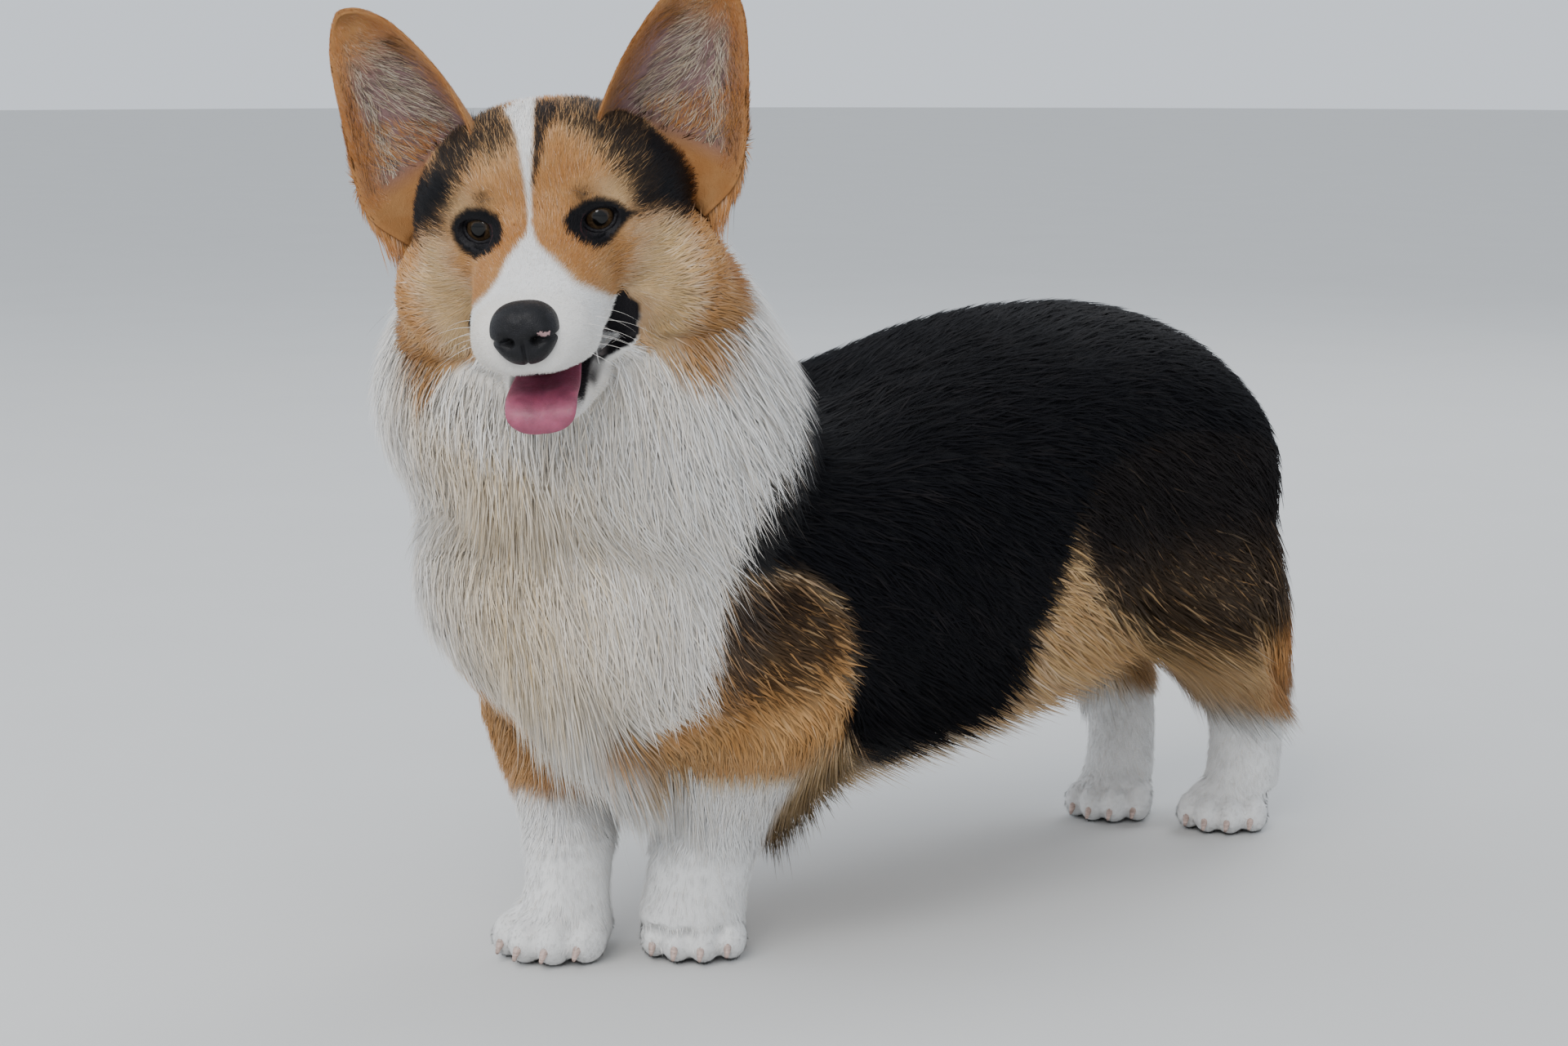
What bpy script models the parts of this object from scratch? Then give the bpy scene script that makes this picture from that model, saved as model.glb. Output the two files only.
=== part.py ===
"""A pembroke welsh corgi standing with its head turned to its left, as a still, life-size model.

Metres, +Z up. The dog faces -Y and its left side is at +X. It stands on the floor at z = 0.
Each body part is one closed solid in its own object, 0.3 mm clear of the part it grows from.
"""

import math
import random

import bmesh
import bpy
import numpy as np
from mathutils import Matrix, Vector
from mathutils.bvhtree import BVHTree

# How the solids are made
GAP = 0.0003
BIG = 1.0
TRUNK_VOXEL = 0.0062
HEAD_VOXEL = 0.0034
PAW_VOXEL = 0.0030
TRUNK_TRIANGLES = 2150
HEAD_TRIANGLES = 1300
JAW_TRIANGLES = 220
PAW_TRIANGLES = 230
RING_SIDES = 28
RINGS_PER_SPAN = 4

# How far the core lies inside the named sizes below where the coat is built as locks
RUFF_INSET = 0.010
BIB_INSET = 0.009
# The bib's core is inset in full ahead of the first place along Y, and not at all behind the second
BIB_INSET_SPAN = (-0.245, -0.165)

# Locks: how deep a root is sunk, and the width and thickness of a lock up its length
LOCK_SINK = 0.006
LOCK_PROFILE = ((0.0, 0.72, 1.0), (0.42, 1.0, 0.9), (0.76, 0.60, 0.6))
LOCK_THICK = 0.0036
LOCK_SEED = 7

# Tiers of the ruff and bib: height above the neck's tilted seam, number, half the tier's spread
# in degrees from straight ahead, length, lift of the tips off the core
RUFF_TIERS = (
    (0.112, 9, 180.0, 0.042, 0.011),
    (0.083, 11, 180.0, 0.048, 0.013),
    (0.052, 11, 180.0, 0.050, 0.015),
    (0.021, 11, 180.0, 0.048, 0.015),
)
RUFF_LOCK_WIDTH = 0.046
BIB_TIERS = (
    (-0.014, 7, 84.0, 0.050, 0.014),
    (-0.044, 6, 70.0, 0.050, 0.013),
    (-0.074, 5, 50.0, 0.048, 0.011),
)
BIB_LOCK_WIDTH = 0.036
# How much of its length and lift a ruff lock loses straight behind the neck
NAPE_LOSS = 0.45

# The fringe's lines of hanging locks under chest and belly:
# place across, first and last place along Y, number, length
FRINGE_LINES = (
    (-0.040, -0.075, 0.090, 6, 0.030),
    (0.040, -0.075, 0.090, 6, 0.030),
    (0.000, -0.200, 0.070, 7, 0.034),
)
FRINGE_LOCK_WIDTH = 0.038
# How much of its length a fringe lock loses at the rear end of its line
FRINGE_FADE = 0.45

# The breeches' rows down the back of a thigh: height, number, spread in degrees, length, lift
BREECHES_ROWS = (
    (0.190, 3, 62.0, 0.046, 0.013),
    (0.160, 3, 58.0, 0.046, 0.013),
    (0.132, 3, 50.0, 0.034, 0.010),
)
BREECHES_LOCK_WIDTH = 0.032
# The rump's rows between the thighs: height, number, spread in degrees, length, lift
RUMP_ROWS = (
    (0.214, 4, 50.0, 0.046, 0.012),
    (0.178, 3, 34.0, 0.044, 0.012),
)
RUMP_CENTRE = (0.0, 0.200)

# The trunk, ring by ring from the chest to the rump: place along Y, top, bottom, half width
TRUNK = (
    (-0.288, 0.228, 0.182, 0.036),
    (-0.272, 0.252, 0.146, 0.066),
    (-0.245, 0.268, 0.112, 0.087),
    (-0.200, 0.272, 0.088, 0.098),
    (-0.140, 0.275, 0.080, 0.104),
    (-0.080, 0.281, 0.079, 0.106),
    (-0.020, 0.293, 0.083, 0.108),
    (0.050, 0.307, 0.092, 0.106),
    (0.110, 0.311, 0.108, 0.101),
    (0.160, 0.307, 0.124, 0.095),
    (0.205, 0.292, 0.136, 0.087),
    (0.244, 0.264, 0.148, 0.072),
    (0.271, 0.230, 0.168, 0.042),
)
TRUNK_POWER = 2.15

# The neck and its ruff, up from the chest: centre across and along, height, half width, half depth
NECK = (
    (0.000, -0.175, 0.190, 0.088, 0.086),
    (-0.001, -0.190, 0.225, 0.104, 0.099),
    (-0.003, -0.204, 0.262, 0.115, 0.110),
    (0.000, -0.216, 0.298, 0.109, 0.101),
    (0.001, -0.220, 0.332, 0.095, 0.082),
    (0.002, -0.222, 0.362, 0.077, 0.062),
    (0.006, -0.224, 0.388, 0.056, 0.046),
)

# The legs, down from the body: centre across and along, height, half width, half depth.
# Across is measured outwards from the middle plane, and serves both sides.
FORELEG_RIGHT = (
    (0.050, -0.170, 0.200, 0.042, 0.058),
    (0.060, -0.168, 0.150, 0.046, 0.056),
    (0.065, -0.174, 0.115, 0.043, 0.046),
    (0.045, -0.190, 0.085, 0.0335, 0.034),
    (0.027, -0.204, 0.060, 0.0245, 0.0255),
    (0.0225, -0.210, 0.036, 0.0220, 0.0230),
    (0.0210, -0.213, 0.020, 0.0230, 0.0250),
)
FORELEG_LEFT = (
    (0.050, -0.150, 0.200, 0.040, 0.058),
    (0.058, -0.146, 0.150, 0.042, 0.056),
    (0.053, -0.146, 0.115, 0.039, 0.047),
    (0.034, -0.152, 0.085, 0.0340, 0.037),
    (0.026, -0.160, 0.060, 0.0285, 0.0295),
    (0.0240, -0.166, 0.036, 0.0265, 0.0280),
    (0.0235, -0.169, 0.020, 0.0265, 0.0290),
)
HINDLEG_RIGHT = (
    (0.046, 0.130, 0.235, 0.044, 0.066),
    (0.054, 0.140, 0.195, 0.046, 0.082),
    (0.056, 0.152, 0.160, 0.043, 0.082),
    (0.051, 0.179, 0.130, 0.037, 0.062),
    (0.041, 0.212, 0.100, 0.028, 0.038),
    (0.034, 0.227, 0.078, 0.0220, 0.0245),
    (0.032, 0.229, 0.050, 0.0200, 0.0215),
    (0.031, 0.225, 0.022, 0.0205, 0.0240),
)
HINDLEG_LEFT = (
    (0.046, 0.130, 0.235, 0.044, 0.068),
    (0.054, 0.147, 0.195, 0.046, 0.084),
    (0.056, 0.165, 0.160, 0.044, 0.084),
    (0.053, 0.194, 0.130, 0.039, 0.064),
    (0.045, 0.232, 0.100, 0.0305, 0.040),
    (0.040, 0.251, 0.078, 0.0245, 0.0265),
    (0.038, 0.256, 0.050, 0.0220, 0.0235),
    (0.037, 0.253, 0.022, 0.0215, 0.0250),
)

LEGS = {
    "forepaw_right": FORELEG_RIGHT,
    "forepaw_left": FORELEG_LEFT,
    "hindpaw_right": HINDLEG_RIGHT,
    "hindpaw_left": HINDLEG_LEFT,
}

# Paws: middle of the sole across and along, turned outwards in degrees, and size against a forepaw
PAWS = {
    "forepaw_right": (-0.0245, -0.2155, 25.0, 1.05),
    "forepaw_left": (0.0225, -0.1650, 38.0, 0.96),
    "hindpaw_right": (-0.0280, 0.2160, 25.0, 0.92),
    "hindpaw_left": (0.0360, 0.2400, 28.0, 0.94),
}
# Toes, from the dog's right to its left: across, along, half width
TOES = (
    (-0.0195, -0.0085, 0.0092),
    (-0.0068, -0.0175, 0.0098),
    (0.0068, -0.0175, 0.0098),
    (0.0195, -0.0085, 0.0092),
)
TOE_HEIGHT = 0.0120
TOE_HALF_LENGTH = 0.0155
PAD_AT = Vector((0.0, 0.004, 0.014))
PAD_SIZE = Vector((0.0265, 0.0265, 0.0185))
CLAW_LENGTH = 0.0085
CLAW_RADIUS = 0.0030
CLAW_ROOT_HEIGHT = 0.0092
CLAW_SIDES = 5
CLAW_SET_BACK = 0.0130
PAW_TOP = {"fore": 0.036, "hind": 0.034}

# The head, in its own frame: zero midway between the eyes, -Y to the nose, +X to its left
HEAD_AT = Vector((0.054, -0.289, 0.372))
HEAD_YAW, HEAD_PITCH, HEAD_ROLL = 41.0, 11.0, 6.0
EYE_APART = 0.0515
EYE_RADIUS = 0.0098
SOCKET_RADIUS = 0.0109
EYE_BACK = 0.0030
LID_RADIUS = 0.0123
EYE_TURN = 13.0

# Head rings from the nape to the brow, and muzzle rings from the brow to the nose:
# place along Y, top, bottom, half width
SKULL = (
    (0.080, 0.020, -0.036, 0.026),
    (0.068, 0.036, -0.050, 0.050),
    (0.045, 0.046, -0.058, 0.062),
    (0.020, 0.047, -0.062, 0.064),
    (0.000, 0.040, -0.060, 0.058),
    (-0.010, 0.030, -0.056, 0.047),
    (-0.016, 0.016, -0.050, 0.034),
)
MUZZLE = (
    (0.012, 0.024, -0.055, 0.040),
    (-0.010, 0.013, -0.055, 0.0345),
    (-0.026, 0.003, -0.056, 0.0320),
    (-0.044, -0.006, -0.055, 0.0305),
    (-0.062, -0.012, -0.0545, 0.0290),
    (-0.077, -0.016, -0.0530, 0.0260),
    (-0.088, -0.021, -0.0490, 0.0185),
)
CHEEK_AT = (0.042, 0.024, -0.036)
CHEEK_SIZE = (0.036, 0.038, 0.036)
BROW_AT = (0.0255, -0.004, 0.0165)
BROW_SIZE = (0.015, 0.0125, 0.0095)
THROAT_AT = (0.0, 0.018, -0.055)
THROAT_SIZE = (0.048, 0.050, 0.032)
EAR_BASE_AT = (0.047, 0.056, -0.006)
EAR_BASE_SIZE = (0.023, 0.022, 0.027)

# The mouth: the upper lip's line from its corner to the front (along, height), and the open jaw
LIP_LINE = (
    (-0.012, -0.031),
    (-0.020, -0.040),
    (-0.034, -0.0500),
    (-0.052, -0.0545),
    (-0.072, -0.0530),
    (-0.110, -0.0460),
)
MOUTH_HALF_WIDTH = 0.060
MOUTH_DROP = 0.004
MOUTH_SPACE = ((-0.044, -0.200, -0.062), (0.044, -0.012, 0.0))
JAW = (
    (0.020, -0.048, -0.078, 0.031),
    (-0.005, -0.049, -0.077, 0.0285),
    (-0.028, -0.052, -0.073, 0.0245),
    (-0.048, -0.053, -0.070, 0.0205),
    (-0.062, -0.054, -0.068, 0.0175),
    (-0.071, -0.056, -0.065, 0.0110),
)
JAW_HINGE = (0.0, 0.030, -0.044)
JAW_OPEN = 8.0
# The tongue's middle line: along, height, half width, half thickness
TONGUE = (
    (-0.020, -0.0590, 0.0120, 0.0026),
    (-0.040, -0.0620, 0.0145, 0.0030),
    (-0.058, -0.0640, 0.0160, 0.0030),
    (-0.070, -0.0655, 0.0162, 0.0028),
    (-0.0765, -0.0710, 0.0158, 0.0026),
    (-0.0785, -0.0780, 0.0130, 0.0023),
    (-0.0785, -0.0820, 0.0070, 0.0015),
)
TONGUE_SIDES = 10
NOSE_AT = (0.0, -0.0865, -0.0290)
NOSE_SIZE = (0.0152, 0.0120, 0.0136)
NOSTRIL_AT = (0.0072, -0.0985, -0.0300)
NOSTRIL_SIZE = (0.0034, 0.0050, 0.0028)

# An ear, in the head's frame on its left: root, tip, and half widths and cupping up its length.
# The first row lies below the root, inside the head.
EAR_ROOT = Vector((0.0495, 0.045, 0.018))
EAR_TIP = Vector((0.0875, 0.046, 0.0925))
EAR_ROWS = (
    (-0.24, 0.0270, 95.0),
    (0.00, 0.0345, 88.0),
    (0.20, 0.0350, 74.0),
    (0.42, 0.0315, 58.0),
    (0.62, 0.0265, 48.0),
    (0.80, 0.0200, 40.0),
    (0.92, 0.0125, 34.0),
    (1.01, 0.0030, 28.0),
)
EAR_FACING = 20.0
EAR_THICK = 0.0042
EAR_SIDES = 6

# The bobbed tail
TAIL_AT = (0.0, 0.262, 0.236)
TAIL_SIZE = (0.016, 0.026, 0.015)
TAIL_DROOP = 28.0

# Where the body is parted: the neck's tilted cut, how far a leg's cut stands off the leg's own rings,
# and the heights of the cuts across the legs
NECK_CUT_AT = Vector((0.0, -0.215, 0.232))
NECK_CUT_TILT = 28.0
LEG_CUT_CLEAR = 0.003
FORELEG_TOP = 0.132
THIGH_TOP = 0.205
HOCK_TOP = 0.096

# Colours of the coat and the bare parts
WHITE = (0.80, 0.76, 0.68)
BLACK = (0.018, 0.018, 0.022)
TAN = (0.52, 0.26, 0.10)
NOSE_BLACK = (0.025, 0.025, 0.030)
TONGUE_PINK = (0.56, 0.16, 0.21)
EYE_BROWN = (0.045, 0.022, 0.010)


def clear_scene():
    for obj in list(bpy.data.objects):
        bpy.data.objects.remove(obj)


def material(name, colour, roughness):
    made = bpy.data.materials.new(name)
    made.use_nodes = True
    shader = made.node_tree.nodes["Principled BSDF"]
    shader.inputs["Base Color"].default_value = (*colour, 1.0)
    shader.inputs["Roughness"].default_value = roughness
    shader.inputs["Metallic"].default_value = 0.0
    return made


def place(mesh, name):
    obj = bpy.data.objects.new(name, mesh)
    bpy.context.scene.collection.objects.link(obj)
    return obj


def smooth_table(rows, per_span=RINGS_PER_SPAN):
    """The rows with others between them, on a curve through each column."""
    rows = np.array(rows, float)
    padded = np.vstack([2 * rows[0] - rows[1], rows, 2 * rows[-1] - rows[-2]])
    made = []
    for i in range(1, len(padded) - 2):
        before, start, end, after = padded[i - 1 : i + 3]
        for step in range(per_span):
            t = step / per_span
            made.append(
                0.5
                * (
                    2 * start
                    + (end - before) * t
                    + (2 * before - 5 * start + 4 * end - after) * t**2
                    + (3 * start - before - 3 * end + after) * t**3
                )
            )
    made.append(padded[-2])
    return np.array(made)


def oval(wide, up, down, power=2.0, sides=RING_SIDES):
    """Points round a superellipse as (across, height) pairs. Its top and bottom halves may differ."""
    points = []
    for i in range(sides):
        angle = 2 * math.pi * i / sides
        c, s = math.cos(angle), math.sin(angle)
        tall = up if s > 0 else down
        points.append(
            (
                wide * math.copysign(abs(c) ** (2 / power), c),
                tall * math.copysign(abs(s) ** (2 / power), s),
            )
        )
    return points


def loft(name, rings):
    """A closed skin over rings of points, with its two ends filled."""
    bm = bmesh.new()
    made = [[bm.verts.new(point) for point in ring] for ring in rings]
    for ring, after in zip(made, made[1:]):
        for i in range(len(ring)):
            j = (i + 1) % len(ring)
            bm.faces.new((ring[i], ring[j], after[j], after[i]))
    bm.faces.new(made[0])
    bm.faces.new(made[-1])
    bmesh.ops.recalc_face_normals(bm, faces=bm.faces)
    mesh = bpy.data.meshes.new(name)
    bm.to_mesh(mesh)
    bm.free()
    return place(mesh, name)


def ball(name, centre, radii, turn=None, cuts=3):
    """An ellipsoid, turned about its centre."""
    bm = bmesh.new()
    bmesh.ops.create_icosphere(bm, subdivisions=cuts, radius=1.0)
    matrix = Matrix.Translation(centre) @ (turn or Matrix()).to_4x4() @ Matrix.Diagonal((*radii, 1.0))
    bmesh.ops.transform(bm, matrix=matrix, verts=bm.verts)
    mesh = bpy.data.meshes.new(name)
    bm.to_mesh(mesh)
    bm.free()
    return place(mesh, name)


def block(name, low, high, matrix=None):
    """A box between two corners, used to cut with."""
    bm = bmesh.new()
    bmesh.ops.create_cube(bm, size=1.0)
    low, high = Vector(low), Vector(high)
    size = high - low
    bmesh.ops.transform(
        bm,
        matrix=(matrix or Matrix()) @ Matrix.Translation((low + high) / 2) @ Matrix.Diagonal((*size, 1.0)),
        verts=bm.verts,
    )
    mesh = bpy.data.meshes.new(name)
    bm.to_mesh(mesh)
    bm.free()
    return place(mesh, name)


def apply_modifiers(obj):
    graph = bpy.context.evaluated_depsgraph_get()
    mesh = bpy.data.meshes.new_from_object(obj.evaluated_get(graph))
    obj.modifiers.clear()
    old = obj.data
    obj.data = mesh
    bpy.data.meshes.remove(old)


def fuse(name, pieces, voxel, smoothing, triangles):
    """One skin over overlapping pieces: remeshed, smoothed, and thinned to about that many triangles."""
    bm = bmesh.new()
    for piece in pieces:
        bm.from_mesh(piece.data)
        bpy.data.objects.remove(piece)
    mesh = bpy.data.meshes.new(name)
    bm.to_mesh(mesh)
    bm.free()
    obj = place(mesh, name)
    remesh = obj.modifiers.new("Skin", "REMESH")
    remesh.mode = "VOXEL"
    remesh.voxel_size = voxel
    soften = obj.modifiers.new("Soften", "SMOOTH")
    soften.factor = 0.5
    soften.iterations = smoothing
    apply_modifiers(obj)
    thin = obj.modifiers.new("Thin", "DECIMATE")
    thin.ratio = min(1.0, triangles / (2 * len(obj.data.polygons)))
    apply_modifiers(obj)
    largest_surface(obj)
    return obj


def boolean(obj, other, operation, solver="EXACT"):
    cut = obj.modifiers.new("Cut", "BOOLEAN")
    cut.operation = operation
    cut.solver = solver
    cut.object = other
    apply_modifiers(obj)


def cut_away(obj, *cutters, solver="EXACT"):
    for cutter in cutters:
        boolean(obj, cutter, "DIFFERENCE", solver)
        bpy.data.objects.remove(cutter)


def kept_inside(obj, cutter):
    boolean(obj, cutter, "INTERSECT")
    bpy.data.objects.remove(cutter)


def copy_of(obj, name, grow=0.0):
    """A copy of a solid, its surface moved outwards by grow."""
    made = place(obj.data.copy(), name)
    if grow:
        swell = made.modifiers.new("Swell", "DISPLACE")
        swell.mid_level = 0.0
        swell.strength = grow
        apply_modifiers(made)
    return made


def largest_surface(obj):
    """Keeps the largest closed surface of a solid."""
    bm = bmesh.new()
    bm.from_mesh(obj.data)
    bmesh.ops.triangulate(bm, faces=bm.faces)
    bm.faces.ensure_lookup_table()
    left = set(bm.faces)
    groups = []
    while left:
        todo = [left.pop()]
        group = []
        while todo:
            face = todo.pop()
            group.append(face)
            for edge in face.edges:
                for near in edge.link_faces:
                    if near in left:
                        left.remove(near)
                        todo.append(near)
        groups.append(group)
    groups.sort(key=lambda group: sum(face.calc_area() for face in group))
    extra = [face for group in groups[:-1] for face in group]
    bmesh.ops.delete(bm, geom=extra, context="FACES")
    bmesh.ops.delete(bm, geom=[v for v in bm.verts if not v.link_faces], context="VERTS")
    bm.to_mesh(obj.data)
    bm.free()


def trunk_rings():
    rings = []
    full, none = BIB_INSET_SPAN
    for along, top, bottom, wide in smooth_table(TRUNK):
        inset = BIB_INSET * min(1.0, max(0.0, (none - along) / (none - full)))
        middle = (top + bottom) / 2
        half = (top - bottom) / 2
        rings.append(
            [
                (x, along, middle + z)
                for x, z in oval(wide - inset, half - inset, half - inset, TRUNK_POWER)
            ]
        )
    return rings


def upright_rings(table, side=1.0, inset=0.0, sides=RING_SIDES, per_span=RINGS_PER_SPAN):
    """Level rings for a neck or a leg. Side is -1 on the dog's right."""
    return [
        [
            (side * across + x, along + y, height)
            for x, y in oval(wide - inset, deep - inset, deep - inset, 2.0, sides)
        ]
        for across, along, height, wide, deep in smooth_table(table, per_span)
    ]


def head_frame():
    """Turns and carries the head's own frame to where the head is held."""
    return (
        Matrix.Translation(HEAD_AT)
        @ Matrix.Rotation(math.radians(HEAD_YAW), 4, "Z")
        @ Matrix.Rotation(math.radians(HEAD_PITCH), 4, "X")
        @ Matrix.Rotation(math.radians(-HEAD_ROLL), 4, "Y")
    )


def head_loft(name, table, power=2.0, turn=None):
    """A loft along the head's own Y axis, put where the head is."""
    matrix = head_frame() @ (turn or Matrix())
    rings = []
    for along, top, bottom, wide in smooth_table(table):
        middle, half = (top + bottom) / 2, (top - bottom) / 2
        rings.append([matrix @ Vector((x, along, middle + z)) for x, z in oval(wide, half, half, power)])
    return loft(name, rings)


def head_ball(name, centre, radii, turn=None, cuts=3):
    """An ellipsoid given in the head's frame."""
    matrix = head_frame()
    turned = matrix.to_3x3() @ (turn or Matrix()).to_3x3()
    return ball(name, matrix @ Vector(centre), radii, turned, cuts)


def mirrored(point, side):
    return (side * point[0], point[1], point[2])


def jaw_turn():
    hinge = Matrix.Translation(JAW_HINGE)
    return hinge @ Matrix.Rotation(math.radians(JAW_OPEN), 4, "X") @ hinge.inverted()


def mouth_cutter():
    """The open mouth: all between the upper lip's line and the top of the lowered jaw."""
    matrix = head_frame()
    upper = [Vector((0, along, height)) for along, height in LIP_LINE]
    lower = [jaw_turn() @ Vector((0, along, top - MOUTH_DROP)) for along, top, _, _ in JAW[1:]]
    side = upper + [lower[-1] + Vector((0, -0.040, 0))] + lower[::-1]
    rings = [
        [matrix @ (point + Vector((x, 0, 0))) for point in side]
        for x in (-MOUTH_HALF_WIDTH, MOUTH_HALF_WIDTH)
    ]
    return loft("mouth", rings)


def eye_centre(side):
    return (side * EYE_APART / 2, -EYE_BACK, 0.0)


def eye_turn(side):
    """Turns an eye's own -Y outwards, to the way that it looks."""
    return Matrix.Rotation(math.radians(side * EYE_TURN), 4, "Z")


def lids_opening(side):
    """The almond between the lids, as a cutter that reaches forward from the eyeball's middle."""
    matrix = head_frame() @ Matrix.Translation(eye_centre(side)) @ eye_turn(side)
    tilt = Matrix.Rotation(math.radians(-side * 10.0), 4, "Y")
    rings = []
    for reach, spread in ((0.001, 0.80), (0.020, 1.35)):
        rings.append(
            [
                matrix @ tilt @ Vector((x, -reach, z))
                for x, z in oval(0.0088 * spread, 0.0064 * spread, 0.0058 * spread, 1.7)
            ]
        )
    return loft("opening", rings)


def head_and_jaw(tongue, nose):
    """The head, the room that it takes in the neck and ears, and the lower jaw that hangs open under it.

    Head and jaw are cut clear of the tongue and nose.
    """
    pieces = [
        head_loft("skull", SKULL, 2.2),
        head_loft("muzzle", MUZZLE, 2.3),
        head_ball("throat", THROAT_AT, THROAT_SIZE),
    ]
    for side in (-1, 1):
        pieces.append(head_ball("ear_base", mirrored(EAR_BASE_AT, side), EAR_BASE_SIZE))
        pieces.append(head_ball("cheek", mirrored(CHEEK_AT, side), CHEEK_SIZE))
        pieces.append(head_ball("brow", mirrored(BROW_AT, side), BROW_SIZE))
    head = fuse("head", pieces, HEAD_VOXEL, 6, HEAD_TRIANGLES)
    jaw = fuse("lower_jaw", [head_loft("jaw_form", JAW, 2.2, jaw_turn())], HEAD_VOXEL, 3, JAW_TRIANGLES)
    room = copy_of(head, "room", GAP)
    cut_away(jaw, copy_of(tongue, "room", GAP))
    cut_away(head, mouth_cutter(), copy_of(jaw, "room", GAP), copy_of(nose, "room", GAP))
    cut_away(head, copy_of(tongue, "room", GAP))
    for side in (-1, 1):
        lids = head_ball("lids", eye_centre(side), (LID_RADIUS,) * 3, cuts=3)
        boolean(head, lids, "UNION")
        bpy.data.objects.remove(lids)
        socket = head_ball("socket", eye_centre(side), (SOCKET_RADIUS,) * 3, cuts=2)
        cut_away(head, socket, lids_opening(side))
    largest_surface(head)
    largest_surface(jaw)
    return head, room, jaw


def tongue_form():
    matrix = head_frame()
    rings = []
    table = smooth_table(TONGUE, 2)
    for i, (along, height, wide, thick) in enumerate(table):
        after = table[min(i + 1, len(table) - 1)]
        before = table[max(i - 1, 0)]
        way = Vector((0, after[0] - before[0], after[1] - before[1])).normalized()
        up = Vector((1, 0, 0)).cross(way)
        rings.append(
            [
                matrix @ (Vector((x, along, height)) + up * z)
                for x, z in oval(wide, thick, thick, sides=TONGUE_SIDES)
            ]
        )
    return loft("tongue", rings)


def nose_form():
    nose = head_ball("nose", NOSE_AT, NOSE_SIZE, cuts=3)
    thin = nose.modifiers.new("Thin", "DECIMATE")
    thin.ratio = 0.3
    apply_modifiers(nose)
    for side in (-1, 1):
        cut_away(nose, head_ball("nostril", mirrored(NOSTRIL_AT, side), NOSTRIL_SIZE, cuts=2))
    largest_surface(nose)
    return nose


def ear_form(side):
    """A cupped shell: rows up its length, curved round so that the cup opens forwards and outwards."""
    matrix = head_frame()
    along = EAR_TIP - EAR_ROOT
    back = Matrix.Rotation(math.radians(EAR_FACING), 3, "Z") @ Vector((0, 1, 0))
    outward = back.cross(along).normalized()
    back = along.cross(outward).normalized()
    bm = bmesh.new()
    rows = []
    for place_up, wide, cupping in EAR_ROWS:
        angle = math.radians(cupping)
        radius = wide / math.sin(min(angle, math.pi / 2))
        row = []
        for j in range(EAR_SIDES + 1):
            turn = angle * (2 * j / EAR_SIDES - 1)
            point = EAR_ROOT + along * place_up
            point += outward * radius * math.sin(turn) + back * radius * (math.cos(turn) - 0.75)
            point.x *= side
            row.append(bm.verts.new(matrix @ point))
        rows.append(row)
    for row, after in zip(rows, rows[1:]):
        for j in range(EAR_SIDES):
            bm.faces.new((row[j], row[j + 1], after[j + 1], after[j]))
    mesh = bpy.data.meshes.new("ear")
    bm.to_mesh(mesh)
    bm.free()
    ear = place(mesh, "ear_left" if side > 0 else "ear_right")
    shell = ear.modifiers.new("Shell", "SOLIDIFY")
    shell.thickness = EAR_THICK
    shell.offset = 0.0
    apply_modifiers(ear)
    return ear


def paw_form(name):
    """A paw with its toes and claws, flat on the floor."""
    across, along, turned, size = PAWS[name]
    matrix = (
        Matrix.Translation((across, along, 0))
        @ Matrix.Rotation(math.radians(turned), 4, "Z")
        @ Matrix.Scale(size, 4)
    )
    turn = matrix.to_3x3() * (1 / size)
    side = math.copysign(1.0, across)
    pieces = [
        loft("wrist", upright_rings(LEGS[name][-3:], side)),
        ball("pad", matrix @ PAD_AT, PAD_SIZE * size, turn),
    ]
    for x, y, wide in TOES:
        centre = matrix @ Vector((x, y, TOE_HEIGHT - 0.0015))
        pieces.append(ball("toe", centre, Vector((wide, TOE_HALF_LENGTH, TOE_HEIGHT)) * size, turn))
    paw = fuse(name, pieces, PAW_VOXEL, 3, PAW_TRIANGLES)
    claws = bpy.data.collections.new("claws")
    for x, y, wide in TOES:
        claws.objects.link(claw(matrix, x, y - CLAW_SET_BACK))
    join_all(paw, claws)
    cut_away(paw, below(0.0))
    top = PAW_TOP["fore" if name.startswith("fore") else "hind"]
    cut_away(paw, block("above", (-BIG, -BIG, top), (BIG, BIG, BIG)))
    largest_surface(paw)
    return paw


def claw(matrix, x, y):
    """A short curved cone that points forwards and down, from inside the toe."""
    rings = []
    for t, size in ((-0.5, 1.0), (0.4, 0.85), (1.0, 0.25)):
        drop = 0.6 * max(t, 0) ** 1.3
        centre = Vector((x, y - CLAW_LENGTH * 0.62 * t, CLAW_ROOT_HEIGHT - CLAW_LENGTH * drop))
        ring = []
        for k in range(CLAW_SIDES):
            angle = 2 * math.pi * k / CLAW_SIDES
            step = Vector((0.8 * math.cos(angle), 0, math.sin(angle)))
            ring.append(matrix @ (centre + step * CLAW_RADIUS * size))
        rings.append(ring)
    return loft("claw", rings)


def join_all(obj, collection, solver="MANIFOLD"):
    """One union of a node with all the pieces in a collection, which are then removed."""
    join = obj.modifiers.new("Join", "BOOLEAN")
    join.operation = "UNION"
    join.operand_type = "COLLECTION"
    join.collection = collection
    join.solver = solver
    apply_modifiers(obj)
    for piece in list(collection.objects):
        bpy.data.objects.remove(piece)
    bpy.data.collections.remove(collection)


def part_from(whole, name, cutter, cutter_room):
    """Takes the part of a whole that lies in a cutter, and leaves the rest a gap clear of it."""
    part = copy_of(whole, name)
    kept_inside(part, cutter)
    cut_away(whole, cutter_room)
    largest_surface(part)
    largest_surface(whole)
    return part


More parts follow.
